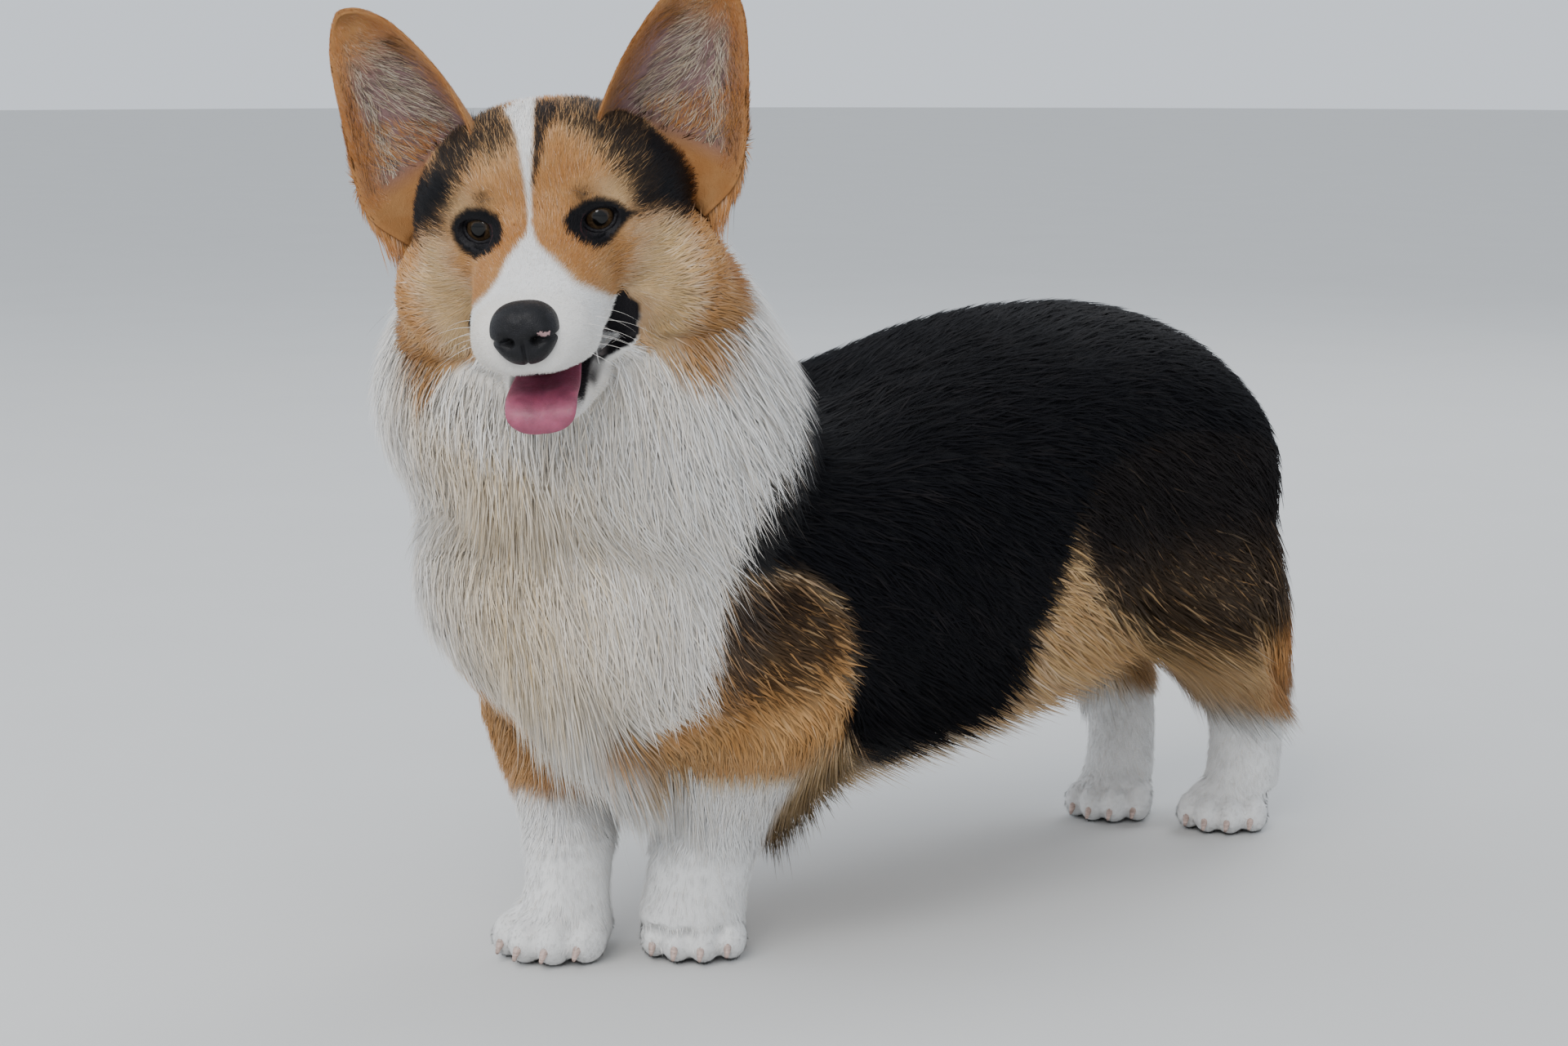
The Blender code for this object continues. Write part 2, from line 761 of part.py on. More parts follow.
def leg_cutter(table, side, top, grow):
    """The space round a leg, from under the floor up to a level cut."""
    x, y, z, wide, deep = table[-1]
    rings = upright_rings(table + ((x, y, -0.05, wide, deep),), side, -LEG_CUT_CLEAR - grow, 14, 2)
    cutter = loft("leg_space", rings)
    kept_inside(cutter, block("under", (-BIG, -BIG, -BIG), (BIG, BIG, top + grow)))
    return cutter


def below(height):
    return block("below", (-BIG, -BIG, -BIG), (BIG, BIG, height))


def lock(points, normals, width):
    """A flat, tapered lock of hair. Its first point lies under the surface that it grows from."""
    bm = bmesh.new()
    rings = []
    for i, (t, wide, thick) in enumerate(LOCK_PROFILE):
        way = (points[i + 1] - points[max(i - 1, 0)]).normalized()
        across = way.cross(normals[i]).normalized() * wide * width / 2
        up = across.cross(way).normalized() * thick * LOCK_THICK / 2
        rings.append([bm.verts.new(points[i] + step) for step in (across, up, -across, -up)])
    tip = bm.verts.new(points[-1])
    for ring, after in zip(rings, rings[1:]):
        for i in range(4):
            j = (i + 1) % 4
            bm.faces.new((ring[i], ring[j], after[j], after[i]))
    for i in range(4):
        bm.faces.new((rings[-1][i], rings[-1][(i + 1) % 4], tip))
    bm.faces.new(rings[0])
    bmesh.ops.triangulate(bm, faces=bm.faces)
    bmesh.ops.recalc_face_normals(bm, faces=bm.faces)
    mesh = bpy.data.meshes.new("lock")
    bm.to_mesh(mesh)
    bm.free()
    return bpy.data.objects.new("lock", mesh)


def lock_on(skin, root, lie, length, lift, width, hang=0.0, facing=None):
    """A lock that follows the skin, or hangs free where hang is 1. Its flat side may face a given way."""
    root, root_normal, _, _ = skin.find_nearest(root)
    lie = Vector(lie)
    if hang < 1.0:
        lie -= root_normal * lie.dot(root_normal) * (1 - hang)
    lie.normalize()
    points, normals = [], []
    for t in [row[0] for row in LOCK_PROFILE] + [1.0]:
        free = root + lie * length * t
        near, normal, _, _ = skin.find_nearest(free)
        height = -LOCK_SINK + (lift + LOCK_SINK) * t**0.8
        followed = near + normal * height
        free += root_normal * height * (1 - hang) - lie * LOCK_SINK * hang
        points.append(followed.lerp(free, hang))
        normals.append(facing or normal.lerp(root_normal, hang).normalized())
    return lock(points, normals, width)


def neck_seam():
    """Carries a level plane to the neck's tilted seam."""
    return Matrix.Translation(NECK_CUT_AT) @ Matrix.Rotation(math.radians(NECK_CUT_TILT), 4, "X")


def tier_locks(skin, draw, tiers, width):
    """Tiers of locks round the neck and chest, which flow down and back over the shoulders."""
    turned = neck_seam().to_3x3()
    up = turned @ Vector((0, 0, 1))
    line = [Vector(ring[:3]) for ring in smooth_table(NECK)]
    made = []
    for tier, (above, count, spread, length, lift) in enumerate(tiers):
        near = min(line, key=lambda point: abs((point - NECK_CUT_AT).dot(up) - above))
        centre = near + up * (above - (near - NECK_CUT_AT).dot(up))
        for k in range(count):
            share = (2 * k + 1 + tier % 2 + draw.uniform(-0.2, 0.2)) / count - 1
            turn = math.radians(spread * share - 90.0)
            out = turned @ Vector((math.cos(turn), math.sin(turn), 0))
            start = centre + up * draw.uniform(-0.004, 0.004) + out * 0.3
            hit = skin.ray_cast(start, -out)[0]
            size = draw.uniform(0.90, 1.10)
            if hit is None:
                continue
            lie = Vector((0, 0.35 + 0.35 * out.y, -1.0))
            at_nape = 1 - NAPE_LOSS * max(0.0, out.y)
            made.append(
                lock_on(skin, hit, lie, length * size * at_nape, lift * at_nape, width * size)
            )
    return made


def fan_locks(skin, draw, rows, centre, facing, width, lie, side=1.0):
    """Rows of locks round an upright axis, spread to both sides of the way that they face."""
    made = []
    for height, count, spread, length, lift in rows:
        for k in range(count):
            share = (2 * k + 1) / count - 1 + draw.uniform(-0.1, 0.1) / count
            turn = math.radians(facing + side * spread * share)
            out = Vector((math.cos(turn), math.sin(turn), 0))
            start = Vector((centre[0], centre[1], height + draw.uniform(-0.005, 0.005))) + out * 0.3
            hit = skin.ray_cast(start, -out)[0]
            size = draw.uniform(0.90, 1.12)
            made.append(lock_on(skin, hit, lie, length * size, lift, width * size, 0.15))
    return made


def fringe_locks(skin, draw):
    """Locks that hang under the chest and belly."""
    made = []
    for across, first, last, count, length in FRINGE_LINES:
        for k in range(count):
            along = first + (last - first) * (k + draw.uniform(-0.15, 0.15)) / (count - 1)
            hit = skin.ray_cast(Vector((across, along, -BIG)), Vector((0, 0, 1)))[0]
            lie = Vector((5.0 * across, 0.45 + draw.uniform(-0.2, 0.2), -1.0))
            size = draw.uniform(0.90, 1.10) * (1 - FRINGE_FADE * k / (count - 1))
            facing = Vector((1.0, draw.uniform(-0.25, 0.25), 0.0))
            made.append(lock_on(skin, hit, lie, length * size, 0.0, FRINGE_LOCK_WIDTH, 1.0, facing))
    return made


def grow_locks(node, locks, rooms):
    """Joins locks to their node in one union, each first cut clear of the neighbours' rooms."""
    graph = bpy.context.evaluated_depsgraph_get()
    trees = [BVHTree.FromObject(room, graph) for room in rooms]
    group = bpy.data.collections.new("locks")
    for piece in locks:
        if any(is_inside(tree, piece.data.vertices[-1].co) for tree in trees):
            bpy.data.objects.remove(piece)
            continue
        bpy.context.scene.collection.objects.link(piece)
        for room, tree in zip(rooms, trees):
            own = BVHTree.FromObject(piece, bpy.context.evaluated_depsgraph_get())
            if tree.overlap(own):
                boolean(piece, room, "DIFFERENCE", "MANIFOLD")
                largest_surface(piece)
        bpy.context.scene.collection.objects.unlink(piece)
        group.objects.link(piece)
    join_all(node, group)
    largest_surface(node)
    for room in rooms:
        bpy.data.objects.remove(room)


def is_inside(tree, point):
    """Whether a point lies inside a closed skin: a line from it crosses the skin an odd number of times."""
    way = Vector((0.31, 0.52, 0.79)).normalized()
    crossings = 0
    hit = tree.ray_cast(point, way)[0]
    while hit is not None:
        crossings += 1
        hit = tree.ray_cast(hit + way * 1e-6, way)[0]
    return crossings % 2 == 1


def finish_materials():
    """Each node's own finish."""
    looks = {
        "white_coat": (WHITE, 0.85, ("neck", "paw", "lower_jaw", "hock", "foreleg")),
        "black_coat": (BLACK, 0.80, ("torso", "thigh", "tail")),
        "tan_coat": (TAN, 0.85, ("head", "ear")),
        "nose_leather": (NOSE_BLACK, 0.35, ("nose",)),
        "tongue_flesh": (TONGUE_PINK, 0.40, ("tongue",)),
        "eye_glass": (EYE_BROWN, 0.05, ("eye",)),
    }
    for obj in bpy.data.objects:
        for look, (colour, roughness, words) in looks.items():
            if any(word in obj.name for word in words):
                obj.data.materials.clear()
                obj.data.materials.append(material(f"{look}_{obj.name}", colour, roughness))
        obj.data.shade_smooth()
        obj.data.set_sharp_from_angle(angle=math.radians(40.0))


def centre_on_floor():
    """Moves the whole animal so that its box stands centred on the origin."""
    points = [v.co for obj in bpy.data.objects for v in obj.data.vertices]
    low = Vector([min(p[k] for p in points) for k in range(3)])
    high = Vector([max(p[k] for p in points) for k in range(3)])
    shift = Vector((-(low.x + high.x) / 2, -(low.y + high.y) / 2, -low.z))
    for obj in bpy.data.objects:
        obj.data.transform(Matrix.Translation(shift))


def main():
    clear_scene()
    draw = random.Random(LOCK_SEED)
    trunk = fuse(
        "torso",
        [
            loft("trunk", trunk_rings()),
            loft("neck_form", upright_rings(NECK, 1.0, RUFF_INSET)),
            loft("foreleg_r", upright_rings(FORELEG_RIGHT, -1)),
            loft("foreleg_l", upright_rings(FORELEG_LEFT)),
            loft("hindleg_r", upright_rings(HINDLEG_RIGHT, -1)),
            loft("hindleg_l", upright_rings(HINDLEG_LEFT)),
        ],
        TRUNK_VOXEL,
        12,
        TRUNK_TRIANGLES,
    )
    skin = BVHTree.FromObject(trunk, bpy.context.evaluated_depsgraph_get())
    tongue = tongue_form()
    nose = nose_form()
    head, head_room, jaw = head_and_jaw(tongue, nose)
    made = {}
    for side, word in ((-1, "right"), (1, "left")):
        head_ball("eye_" + word, eye_centre(side), (EYE_RADIUS,) * 3, cuts=3)
        ear = ear_form(side)
        cut_away(ear, copy_of(head_room, "room"))
        largest_surface(ear)
        for kind, paw, top in (("foreleg_", "forepaw_", FORELEG_TOP), ("thigh_", "hindpaw_", THIGH_TOP)):
            cutters = [leg_cutter(LEGS[paw + word], side, top, grow) for grow in (0.0, GAP)]
            made[kind + word] = part_from(trunk, kind + word, *cutters)
        made["hock_" + word] = part_from(
            made["thigh_" + word], "hock_" + word, below(HOCK_TOP), below(HOCK_TOP + GAP)
        )
        for kind, paw in (("foreleg_", "fore"), ("hock_", "hind")):
            cut_away(made[kind + word], below(PAW_TOP[paw] + GAP))
            largest_surface(made[kind + word])
            paw_form(f"{paw}paw_{word}")
    above = [block("above", (-BIG, -BIG, -grow), (BIG, BIG, BIG), neck_seam()) for grow in (0.0, GAP)]
    neck = part_from(trunk, "neck", *above)

    mouth = [copy_of(jaw, "room", GAP), copy_of(tongue, "room", GAP)]
    mouth.append(block("room", *MOUTH_SPACE, head_frame()))
    cut_away(neck, copy_of(head_room, "room"), *(copy_of(room, "room") for room in mouth))
    largest_surface(neck)
    locks = tier_locks(skin, draw, RUFF_TIERS, RUFF_LOCK_WIDTH)
    grow_locks(neck, locks, [head_room, *mouth, copy_of(trunk, "room", GAP)])

    locks = tier_locks(skin, draw, BIB_TIERS, BIB_LOCK_WIDTH)
    locks += fan_locks(skin, draw, RUMP_ROWS, RUMP_CENTRE, 90.0, BREECHES_LOCK_WIDTH, (0, 0.2, -1.0))
    locks += fringe_locks(skin, draw)
    legs = [made[kind + word] for kind in ("foreleg_", "thigh_") for word in ("left", "right")]
    grow_locks(trunk, locks, [copy_of(other, "room", GAP) for other in (neck, *legs)])

    for side, word in ((-1, "right"), (1, "left")):
        row = HINDLEG_LEFT[2] if side > 0 else HINDLEG_RIGHT[2]
        centre = (side * row[0], row[1])
        facing = 90.0 - side * 22.0
        locks = fan_locks(skin, draw, BREECHES_ROWS, centre, facing, BREECHES_LOCK_WIDTH, (0, 0.25, -1.0))
        rooms = [copy_of(other, "room", GAP) for other in (trunk, made["hock_" + word])]
        grow_locks(made["thigh_" + word], locks, rooms)
    tail = ball("tail", TAIL_AT, TAIL_SIZE, Matrix.Rotation(math.radians(-TAIL_DROOP), 3, "X"), 2)
    cut_away(tail, copy_of(trunk, "room", GAP), solver="MANIFOLD")
    largest_surface(tail)
    finish_materials()
    centre_on_floor()


main()
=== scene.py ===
"""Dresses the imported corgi: skin, coat, eyes, nose, mouth, claws, whiskers, camera, studio."""

import math

import bmesh
import bpy
import numpy as np
from mathutils import Matrix, Vector
from mathutils.bvhtree import BVHTree
from mathutils.kdtree import KDTree


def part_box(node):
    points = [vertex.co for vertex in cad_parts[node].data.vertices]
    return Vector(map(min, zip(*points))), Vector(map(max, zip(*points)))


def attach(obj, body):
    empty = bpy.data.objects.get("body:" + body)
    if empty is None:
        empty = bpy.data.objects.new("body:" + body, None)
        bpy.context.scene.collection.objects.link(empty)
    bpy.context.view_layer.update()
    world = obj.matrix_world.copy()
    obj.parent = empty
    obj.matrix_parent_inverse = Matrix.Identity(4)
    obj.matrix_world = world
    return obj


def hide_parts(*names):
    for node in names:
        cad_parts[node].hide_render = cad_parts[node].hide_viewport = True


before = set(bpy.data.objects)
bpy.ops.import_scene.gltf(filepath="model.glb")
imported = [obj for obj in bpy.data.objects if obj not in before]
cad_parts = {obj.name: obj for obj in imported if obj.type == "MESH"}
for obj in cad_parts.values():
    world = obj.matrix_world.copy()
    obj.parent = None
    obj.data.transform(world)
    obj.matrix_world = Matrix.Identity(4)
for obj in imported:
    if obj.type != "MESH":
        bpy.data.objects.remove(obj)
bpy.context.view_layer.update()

bl_info = {
    "name": "Corgi Dresser",
    "version": (1, 0, 0),
    "blender": (4, 5, 0),
    "location": "3D View > Sidebar > Corgi",
    "description": "Builds the skin, coat and face of a standing corgi over its solid model",
    "category": "Add Mesh",
}

BODY = "root"
MOST_TRIANGLES = 200000


def mm(value):
    """Millimetres as metres, all through a table."""
    return tuple(map(mm, value)) if isinstance(value, tuple) else round(value / 1000, 8)


# Where the tables below stand: the middle of the left eyeball in their frame
EYE_IN_TABLES = Vector((0.075596, -0.274809, 0.374070))
EYE_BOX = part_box("eye_left")
SHIFT = (EYE_BOX[0] + EYE_BOX[1]) / 2 - EYE_IN_TABLES
ACROSS, UP = Vector((1, 0, 0)), Vector((0, 0, 1))

# The trunk: place along, top, bottom, half width
TRUNK = mm((
    (-288, 228, 182, 36),
    (-272, 252, 146, 66),
    (-245, 268, 112, 87),
    (-200, 272, 88, 98),
    (-140, 275, 80, 104),
    (-80, 281, 79, 106),
    (-20, 293, 83, 108),
    (50, 307, 92, 106),
    (110, 311, 108, 101),
    (160, 307, 124, 95),
    (205, 292, 136, 87),
    (244, 264, 148, 72),
    (271, 230, 168, 42),
))
TRUNK_POWER = 2.15
# The neck: centre across and along, height, half width, half depth
NECK = mm((
    (0, -175, 190, 88, 86),
    (-1, -190, 225, 104, 99),
    (-3, -204, 262, 115, 110),
    (0, -216, 298, 109, 101),
    (1, -220, 332, 95, 82),
    (2, -222, 362, 77, 62),
    (6, -224, 388, 56, 46),
))
# The legs: centre outwards and along, height, half width, half depth
LEGS = {
    "forepaw_right": mm((
        (50, -170, 200, 42, 58),
        (60, -168, 150, 46, 56),
        (65, -174, 115, 43, 46),
        (45, -190, 85, 33.5, 34),
        (27, -204, 60, 24.5, 25.5),
        (22.5, -210, 36, 22, 23),
        (21, -213, 20, 23, 25),
    )),
    "forepaw_left": mm((
        (50, -150, 200, 40, 58),
        (58, -146, 150, 42, 56),
        (53, -146, 115, 39, 47),
        (34, -152, 85, 34, 37),
        (26, -160, 60, 28.5, 29.5),
        (24, -166, 36, 26.5, 28),
        (23.5, -169, 20, 26.5, 29),
    )),
    "hindpaw_right": mm((
        (46, 130, 235, 44, 66),
        (54, 140, 195, 46, 82),
        (56, 152, 160, 43, 82),
        (51, 179, 130, 37, 62),
        (41, 212, 100, 28, 38),
        (34, 227, 78, 22, 24.5),
        (32, 229, 50, 20, 21.5),
        (31, 225, 22, 20.5, 24),
    )),
    "hindpaw_left": mm((
        (46, 130, 235, 44, 68),
        (54, 147, 195, 46, 84),
        (56, 165, 160, 44, 84),
        (53, 194, 130, 39, 64),
        (45, 232, 100, 30.5, 40),
        (40, 251, 78, 24.5, 26.5),
        (38, 256, 50, 22, 23.5),
        (37, 253, 22, 21.5, 25),
    )),
}
# Paws: middle of the sole across and along, turned outwards in degrees, size
PAWS = {
    "forepaw_right": (-0.0245, -0.2155, 25.0, 1.05),
    "forepaw_left": (0.0225, -0.1650, 38.0, 0.96),
    "hindpaw_right": (-0.0280, 0.2160, 25.0, 0.92),
    "hindpaw_left": (0.0360, 0.2400, 28.0, 0.94),
}
# Toes: across, along, half width
TOES = mm(((-19.5, -8.5, 9.2), (-6.8, -17.5, 9.8), (6.8, -17.5, 9.8), (19.5, -8.5, 9.2)))
TOE_HEIGHT = 0.0120
TOE_HALF_LENGTH = 0.0155
TOE_SINK = 0.0012
PAD_AT = Vector((0.0, 0.004, 0.014))
PAD_SIZE = Vector((0.0265, 0.0265, 0.0185))
CLAW_LENGTH = 0.0085
CLAW_RADIUS = 0.0030
CLAW_ROOT_HEIGHT = 0.0092
CLAW_SET_BACK = 0.0130
# A claw's size along it, its first and last place, and how wide it is for its height
CLAW_TAPER = (-0.5, 0.3, 0.8, 1.0), (1.0, 0.86, 0.45, 0.10)
CLAW_START, CLAW_REACH, CLAW_RINGS, CLAW_FLAT = -0.5, 1.3, 9, 0.72
SOLE_AT, SOLE_SIZE = mm((0, 10, 3.6)), mm((13.5, 11.5, 3.4))
TAIL_AT = mm((0, 262, 236))
TAIL_SIZE = mm((13, 23, 12))
TAIL_DROOP = 28.0

# The head, in its own frame: zero midway between the eyes, -Y to the nose, +X to its left
HEAD_FRAME = (
    Matrix.Translation((0.054, -0.289, 0.372))
    @ Matrix.Rotation(math.radians(41.0), 4, "Z")
    @ Matrix.Rotation(math.radians(11.0), 4, "X")
    @ Matrix.Rotation(math.radians(-6.0), 4, "Y")
)
HEAD_BACK = np.array(HEAD_FRAME.inverted())
EYE_APART = 0.0515
EYE_RADIUS = 0.0098
EYE_BACK = 0.0030
EYE_TURN = 13.0
# Place along, top, bottom, half width
SKULL = mm((
    (80, 20, -36, 26),
    (68, 36, -50, 50),
    (45, 46, -58, 62),
    (20, 47, -62, 64),
    (0, 40, -60, 58),
    (-10, 30, -56, 47),
    (-16, 16, -50, 34),
))
MUZZLE = mm((
    (12, 24, -55, 40),
    (-10, 13, -55, 34.5),
    (-26, 3, -56, 32),
    (-44, -6, -55, 30.5),
    (-62, -12, -54.5, 29),
    (-77, -16, -53, 26),
    (-88, -21, -49, 18.5),
))
# Rounded forms of the head: centre, half sizes, how far the skin lies inside them
HEAD_FORMS = mm((
    ((42, 24, -36), (36, 38, 36), 4.2),
    ((25.5, -4, 16.5), (15, 12.5, 9.5), 1.4),
    ((47, 56, -6), (23, 22, 27), 3),
))
THROAT_AT, THROAT_SIZE = mm((0, 18, -55)), mm((44, 46, 28))
# The upper lip from its corner to the front, then the jaw: place along, top, bottom, half width
LIP_LINE = mm(((-12, -31), (-20, -40), (-34, -50), (-52, -54.5), (-72, -53), (-110, -46)))
MOUTH_HALF_WIDTH = 0.0395
MOUTH_DROP = 0.004
JAW = mm((
    (20, -48, -78, 31),
    (-5, -49, -77, 28.5),
    (-28, -52, -73, 24.5),
    (-48, -53, -70, 20.5),
    (-62, -54, -68, 17.5),
    (-71, -56, -65, 11),
))
JAW_HINGE = mm((0, 30, -44))
JAW_OPEN = 8.0
# Pushes and pulls on the head's skin: centre, reach, shift. X is mirrored.
HEAD_DABS = mm((
    ((20, -17, 14), 12, (0, -1.4, 1.2)),
    ((0, -14, 14), 12, (0, 1.2, -1.2)),
    ((15, -26, -8), 10, (-0.8, 1, -1)),
    ((36, -16, -14), 12, (0.6, 0.6, -1.2)),
    ((24, -62, -46), 18, (2.2, -1, -1.2)),
    ((0, -83, -50), 10, (0, 1.2, 1)),
    ((46, -2, -46), 12, (2.2, -1.2, 0.8)),
    ((40, -12, -30), 8, (-1.4, 1.4, 0)),
    ((0, 20, 50), 16, (0, 0, -1.2)),
))
TONGUE = mm((
    (-12, -57.5, 10, 2.6),
    (-20, -59, 12, 2.6),
    (-40, -62, 14.5, 3),
    (-58, -64, 16, 3),
    (-70, -65.5, 16.2, 2.8),
    (-75.2, -68.8, 16, 2.6),
    (-77.4, -72.5, 14.6, 2.4),
    (-78, -75.7, 11.2, 2),
    (-77.9, -77.5, 6.6, 1.4),
    (-77.8, -78, 1.2, 0.6),
))
NOSE_AT = mm((0, -86.5, -29))
NOSE_SIZE = mm((15.3, 12.2, 13.8))
NOSE_POWER = 2.5
EAR_ROOT = Vector((0.0495, 0.045, 0.018))
EAR_TIP = Vector((0.0875, 0.046, 0.0925))
# Share of the length, half width, how far round it curls in degrees
EAR_ROWS = (
    (-0.24, 0.0270, 95),
    (0.00, 0.0345, 88),
    (0.20, 0.0350, 74),
    (0.42, 0.0315, 58),
    (0.62, 0.0265, 48),
    (0.80, 0.0205, 40),
    (0.90, 0.0150, 35),
    (0.97, 0.0092, 30),
    (1.005, 0.0040, 28),
    (1.015, 0.0010, 26),
)
EAR_FACING = 20.0
EAR_THICK = 0.0028
EAR_COLUMNS = 32
EAR_SHEET_NEAR = 0.0016

# How deep the coat lies over the skin
COAT_DEPTH = 0.006
BIB_DEPTH = 0.0105
HEAD_DEPTH = 0.0018
MUZZLE_DEPTH = 0.0009
LEG_DEPTH = mm(((30, 80, 150, 200), (1.6, 2.2, 4.5, 6)))
BODY_VOXEL = 0.0042
HEAD_VOXEL = 0.0016
PAW_VOXEL = 0.0019
SKIN_SMOOTHING, JAW_SMOOTHING, JOINT_SMOOTHING, PAW_SMOOTHING = 26, 10, 4, 3
# A face of the head lies in the mouth when it is this far under the skin and off the jaw
MOUTH_DEEP, OFF_JAW = 0.0016, 0.0012
SOLE_HEIGHT = 0.0006

# What each face of the skin belongs to
TRUNK_PART, HEAD_PART, EAR_PART, PAW_PART, MOUTH_PART, LID_PART = range(6)

# The photograph's frame and where its lens stands in the tables' frame
CAMERA_AT = Vector((1.286, -1.362, 0.470))
CAMERA_PITCH = 8.3
CAMERA_AIM = (-0.7085, 0.7058)
LENS = 82.5
SENSOR = 36.0

WORK = {}
# CAD nodes with a piece of their own: the skin stands for the others
OWN_PIECES = {"tongue", "nose", "eye_left", "eye_right"}


def deselect():
    """Clears the selection, because an operator acts on all that is selected."""
    if bpy.context.object and bpy.context.object.mode != "OBJECT":
        bpy.ops.object.mode_set(mode="OBJECT")
    bpy.ops.object.select_all(action="DESELECT")


def choose(obj):
    deselect()
    obj.select_set(True)
    bpy.context.view_layer.objects.active = obj


def applied(obj, kind, **settings):
    """Adds a modifier to a mesh and applies it."""
    choose(obj)
    bpy.ops.object.modifier_add(type=kind)
    modifier = obj.modifiers[-1]
    for name, value in settings.items():
        setattr(modifier, name, value)
    bpy.ops.object.modifier_apply(modifier=modifier.name)
    return obj


def placed(mesh, name):
    obj = bpy.data.objects.new(name, mesh)
    bpy.context.scene.collection.objects.link(obj)
    return obj


def carried(obj, matrix):
    """Moves a mesh itself, so that its object stays at the origin."""
    obj.data.transform(matrix)
    obj.data.update()
    return obj


def joined(name, pieces):
    choose(pieces[0])
    for piece in pieces[1:]:
        piece.select_set(True)
    if len(pieces) > 1:
        bpy.ops.object.join()
    obj = bpy.context.object
    obj.name = obj.data.name = name
    return obj


def finished(obj, nodes=(), made_of=None):
    """Carries a piece to where the solids stand, and says what it is."""
    carried(obj, Matrix.Translation(SHIFT))
    if made_of is not None:
        obj.data.materials.clear()
        obj.data.materials.append(made_of)
    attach(obj, BODY)
    if nodes:
        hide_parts(*nodes)
    return obj


def unit(v):
    return v / np.maximum(np.linalg.norm(v, axis=-1, keepdims=True), 1e-12)


def ramp(value, low, high):
    """From 0 at low to 1 at high, eased at both ends. Low may lie above high."""
    t = np.clip((value - low) / (high - low), 0.0, 1.0)
    return t * t * (3 - 2 * t)


def mixed(a, b, share):
    share = np.asarray(share)
    if share.ndim and max(np.ndim(a), np.ndim(b)) > 1:
        share = share[:, None]
    return a + (b - a) * share


def stacked(*columns):
    """Columns side by side, each an array or one number for all rows."""
    return np.stack(np.broadcast_arrays(*columns), 1)


def far_from(points, place):
    return np.linalg.norm(points - np.array(place), axis=1)


def along_surface(v, n):
    return unit(v - n * (v * n).sum(1, keepdims=True))


def turned(points, matrix):
    m = np.array(matrix)
    return points @ m[:3, :3].T + m[:3, 3]


def in_head(points):
    """Points of the tables' frame, given in the head's own."""
    return points @ HEAD_BACK[:3, :3].T + HEAD_BACK[:3, 3]


def from_head(ways):
    """Directions of the head's frame, given in the tables'."""
    return ways @ np.array(HEAD_FRAME.to_3x3()).T


def smooth_table(rows, per_span=4):
    """The rows with others between them, on a curve through each column."""
    rows = np.array(rows, float)
    padded = np.vstack([2 * rows[0] - rows[1], rows, 2 * rows[-1] - rows[-2]])
    made = []
    for i in range(1, len(padded) - 2):
        before, start, end, after = padded[i - 1 : i + 3]
        for step in range(per_span):
            t = step / per_span
            made.append(
                0.5
                * (
                    2 * start
                    + (end - before) * t
                    + (2 * before - 5 * start + 4 * end - after) * t**2
                    + (3 * start - before - 3 * end + after) * t**3
                )
            )
    made.append(padded[-2])
    return np.array(made)


def oval(wide, up, down, power=2.0, sides=32):
    """Points round a superellipse whose top and bottom halves may differ."""
    points = []
    for i in range(sides):
        angle = 2 * math.pi * i / sides
        c, s = math.cos(angle), math.sin(angle)
        tall = up if s > 0 else down
        points.append(
            (
                wide * math.copysign(abs(c) ** (2 / power), c),
                tall * math.copysign(abs(s) ** (2 / power), s),
            )
        )
    return points


def shell(name, points, faces):
    """A closed mesh of the given points and faces, with all of them facing outwards."""
    bm = bmesh.new()
    made = [bm.verts.new(point) for point in points]
    for face in faces:
        bm.faces.new([made[k] for k in face])
    bmesh.ops.recalc_face_normals(bm, faces=bm.faces)
    mesh = bpy.data.meshes.new(name)
    bm.to_mesh(mesh)
    bm.free()
    return placed(mesh, name)


def hoops(count, size, closed=False):
    """Faces between rings of points that are numbered on from ring to ring."""
    faces = []
    for k in range(count if closed else count - 1):
        here, after = k * size, (k + 1) % count * size
        for i in range(size):
            j = (i + 1) % size
            faces.append((here + i, here + j, after + j, after + i))
    return faces


def loft(name, rings):
    """A closed skin over rings of points, with its two ends filled."""
    size, count = len(rings[0]), len(rings)
    ends = [range(size), range((count - 1) * size, count * size)]
    return shell(name, [point for ring in rings for point in ring], hoops(count, size) + ends)


def ball(name, centre, radii, turn=None, cuts=4):
    deselect()
    bpy.ops.mesh.primitive_ico_sphere_add(subdivisions=cuts, radius=1.0, location=(0, 0, 0))
    obj = bpy.context.object
    obj.name = obj.data.name = name
    turn = (turn or Matrix()).to_4x4()
    return carried(obj, Matrix.Translation(centre) @ turn @ Matrix.Diagonal((*radii, 1.0)))


def upright(table, side=1.0, depth=0.0):
    """Level rings of a neck or a leg, the coat's depth inside it."""
    rings = []
    for across, along, height, wide, deep in smooth_table(table):
        inset = depth if np.isscalar(depth) else float(np.interp(height, *depth))
        rings.append(
            [
                (side * across + x, along + y, height)
                for x, y in oval(wide - inset, deep - inset, deep - inset)
            ]
        )
    return rings


def trunk_rings():
    rings = []
    for along, top, bottom, wide in smooth_table(TRUNK):
        inset = float(np.interp(along, (-0.245, -0.165), (BIB_DEPTH, COAT_DEPTH)))
        middle, half = (top + bottom) / 2, (top - bottom) / 2 - inset
        rings.append(
            [(x, along, middle + z) for x, z in oval(wide - inset, half, half, TRUNK_POWER)]
        )
    return rings


def head_loft(name, table, depth, power, turn=None):
    matrix = HEAD_FRAME @ (turn or Matrix())
    rings = []
    for along, top, bottom, wide in smooth_table(table):
        middle, half = (top + bottom) / 2, (top - bottom) / 2 - depth
        ring = [(x, along, middle + z) for x, z in oval(wide - depth, half, half, power)]
        rings.append([matrix @ Vector(point) for point in ring])
    return loft(name, rings)


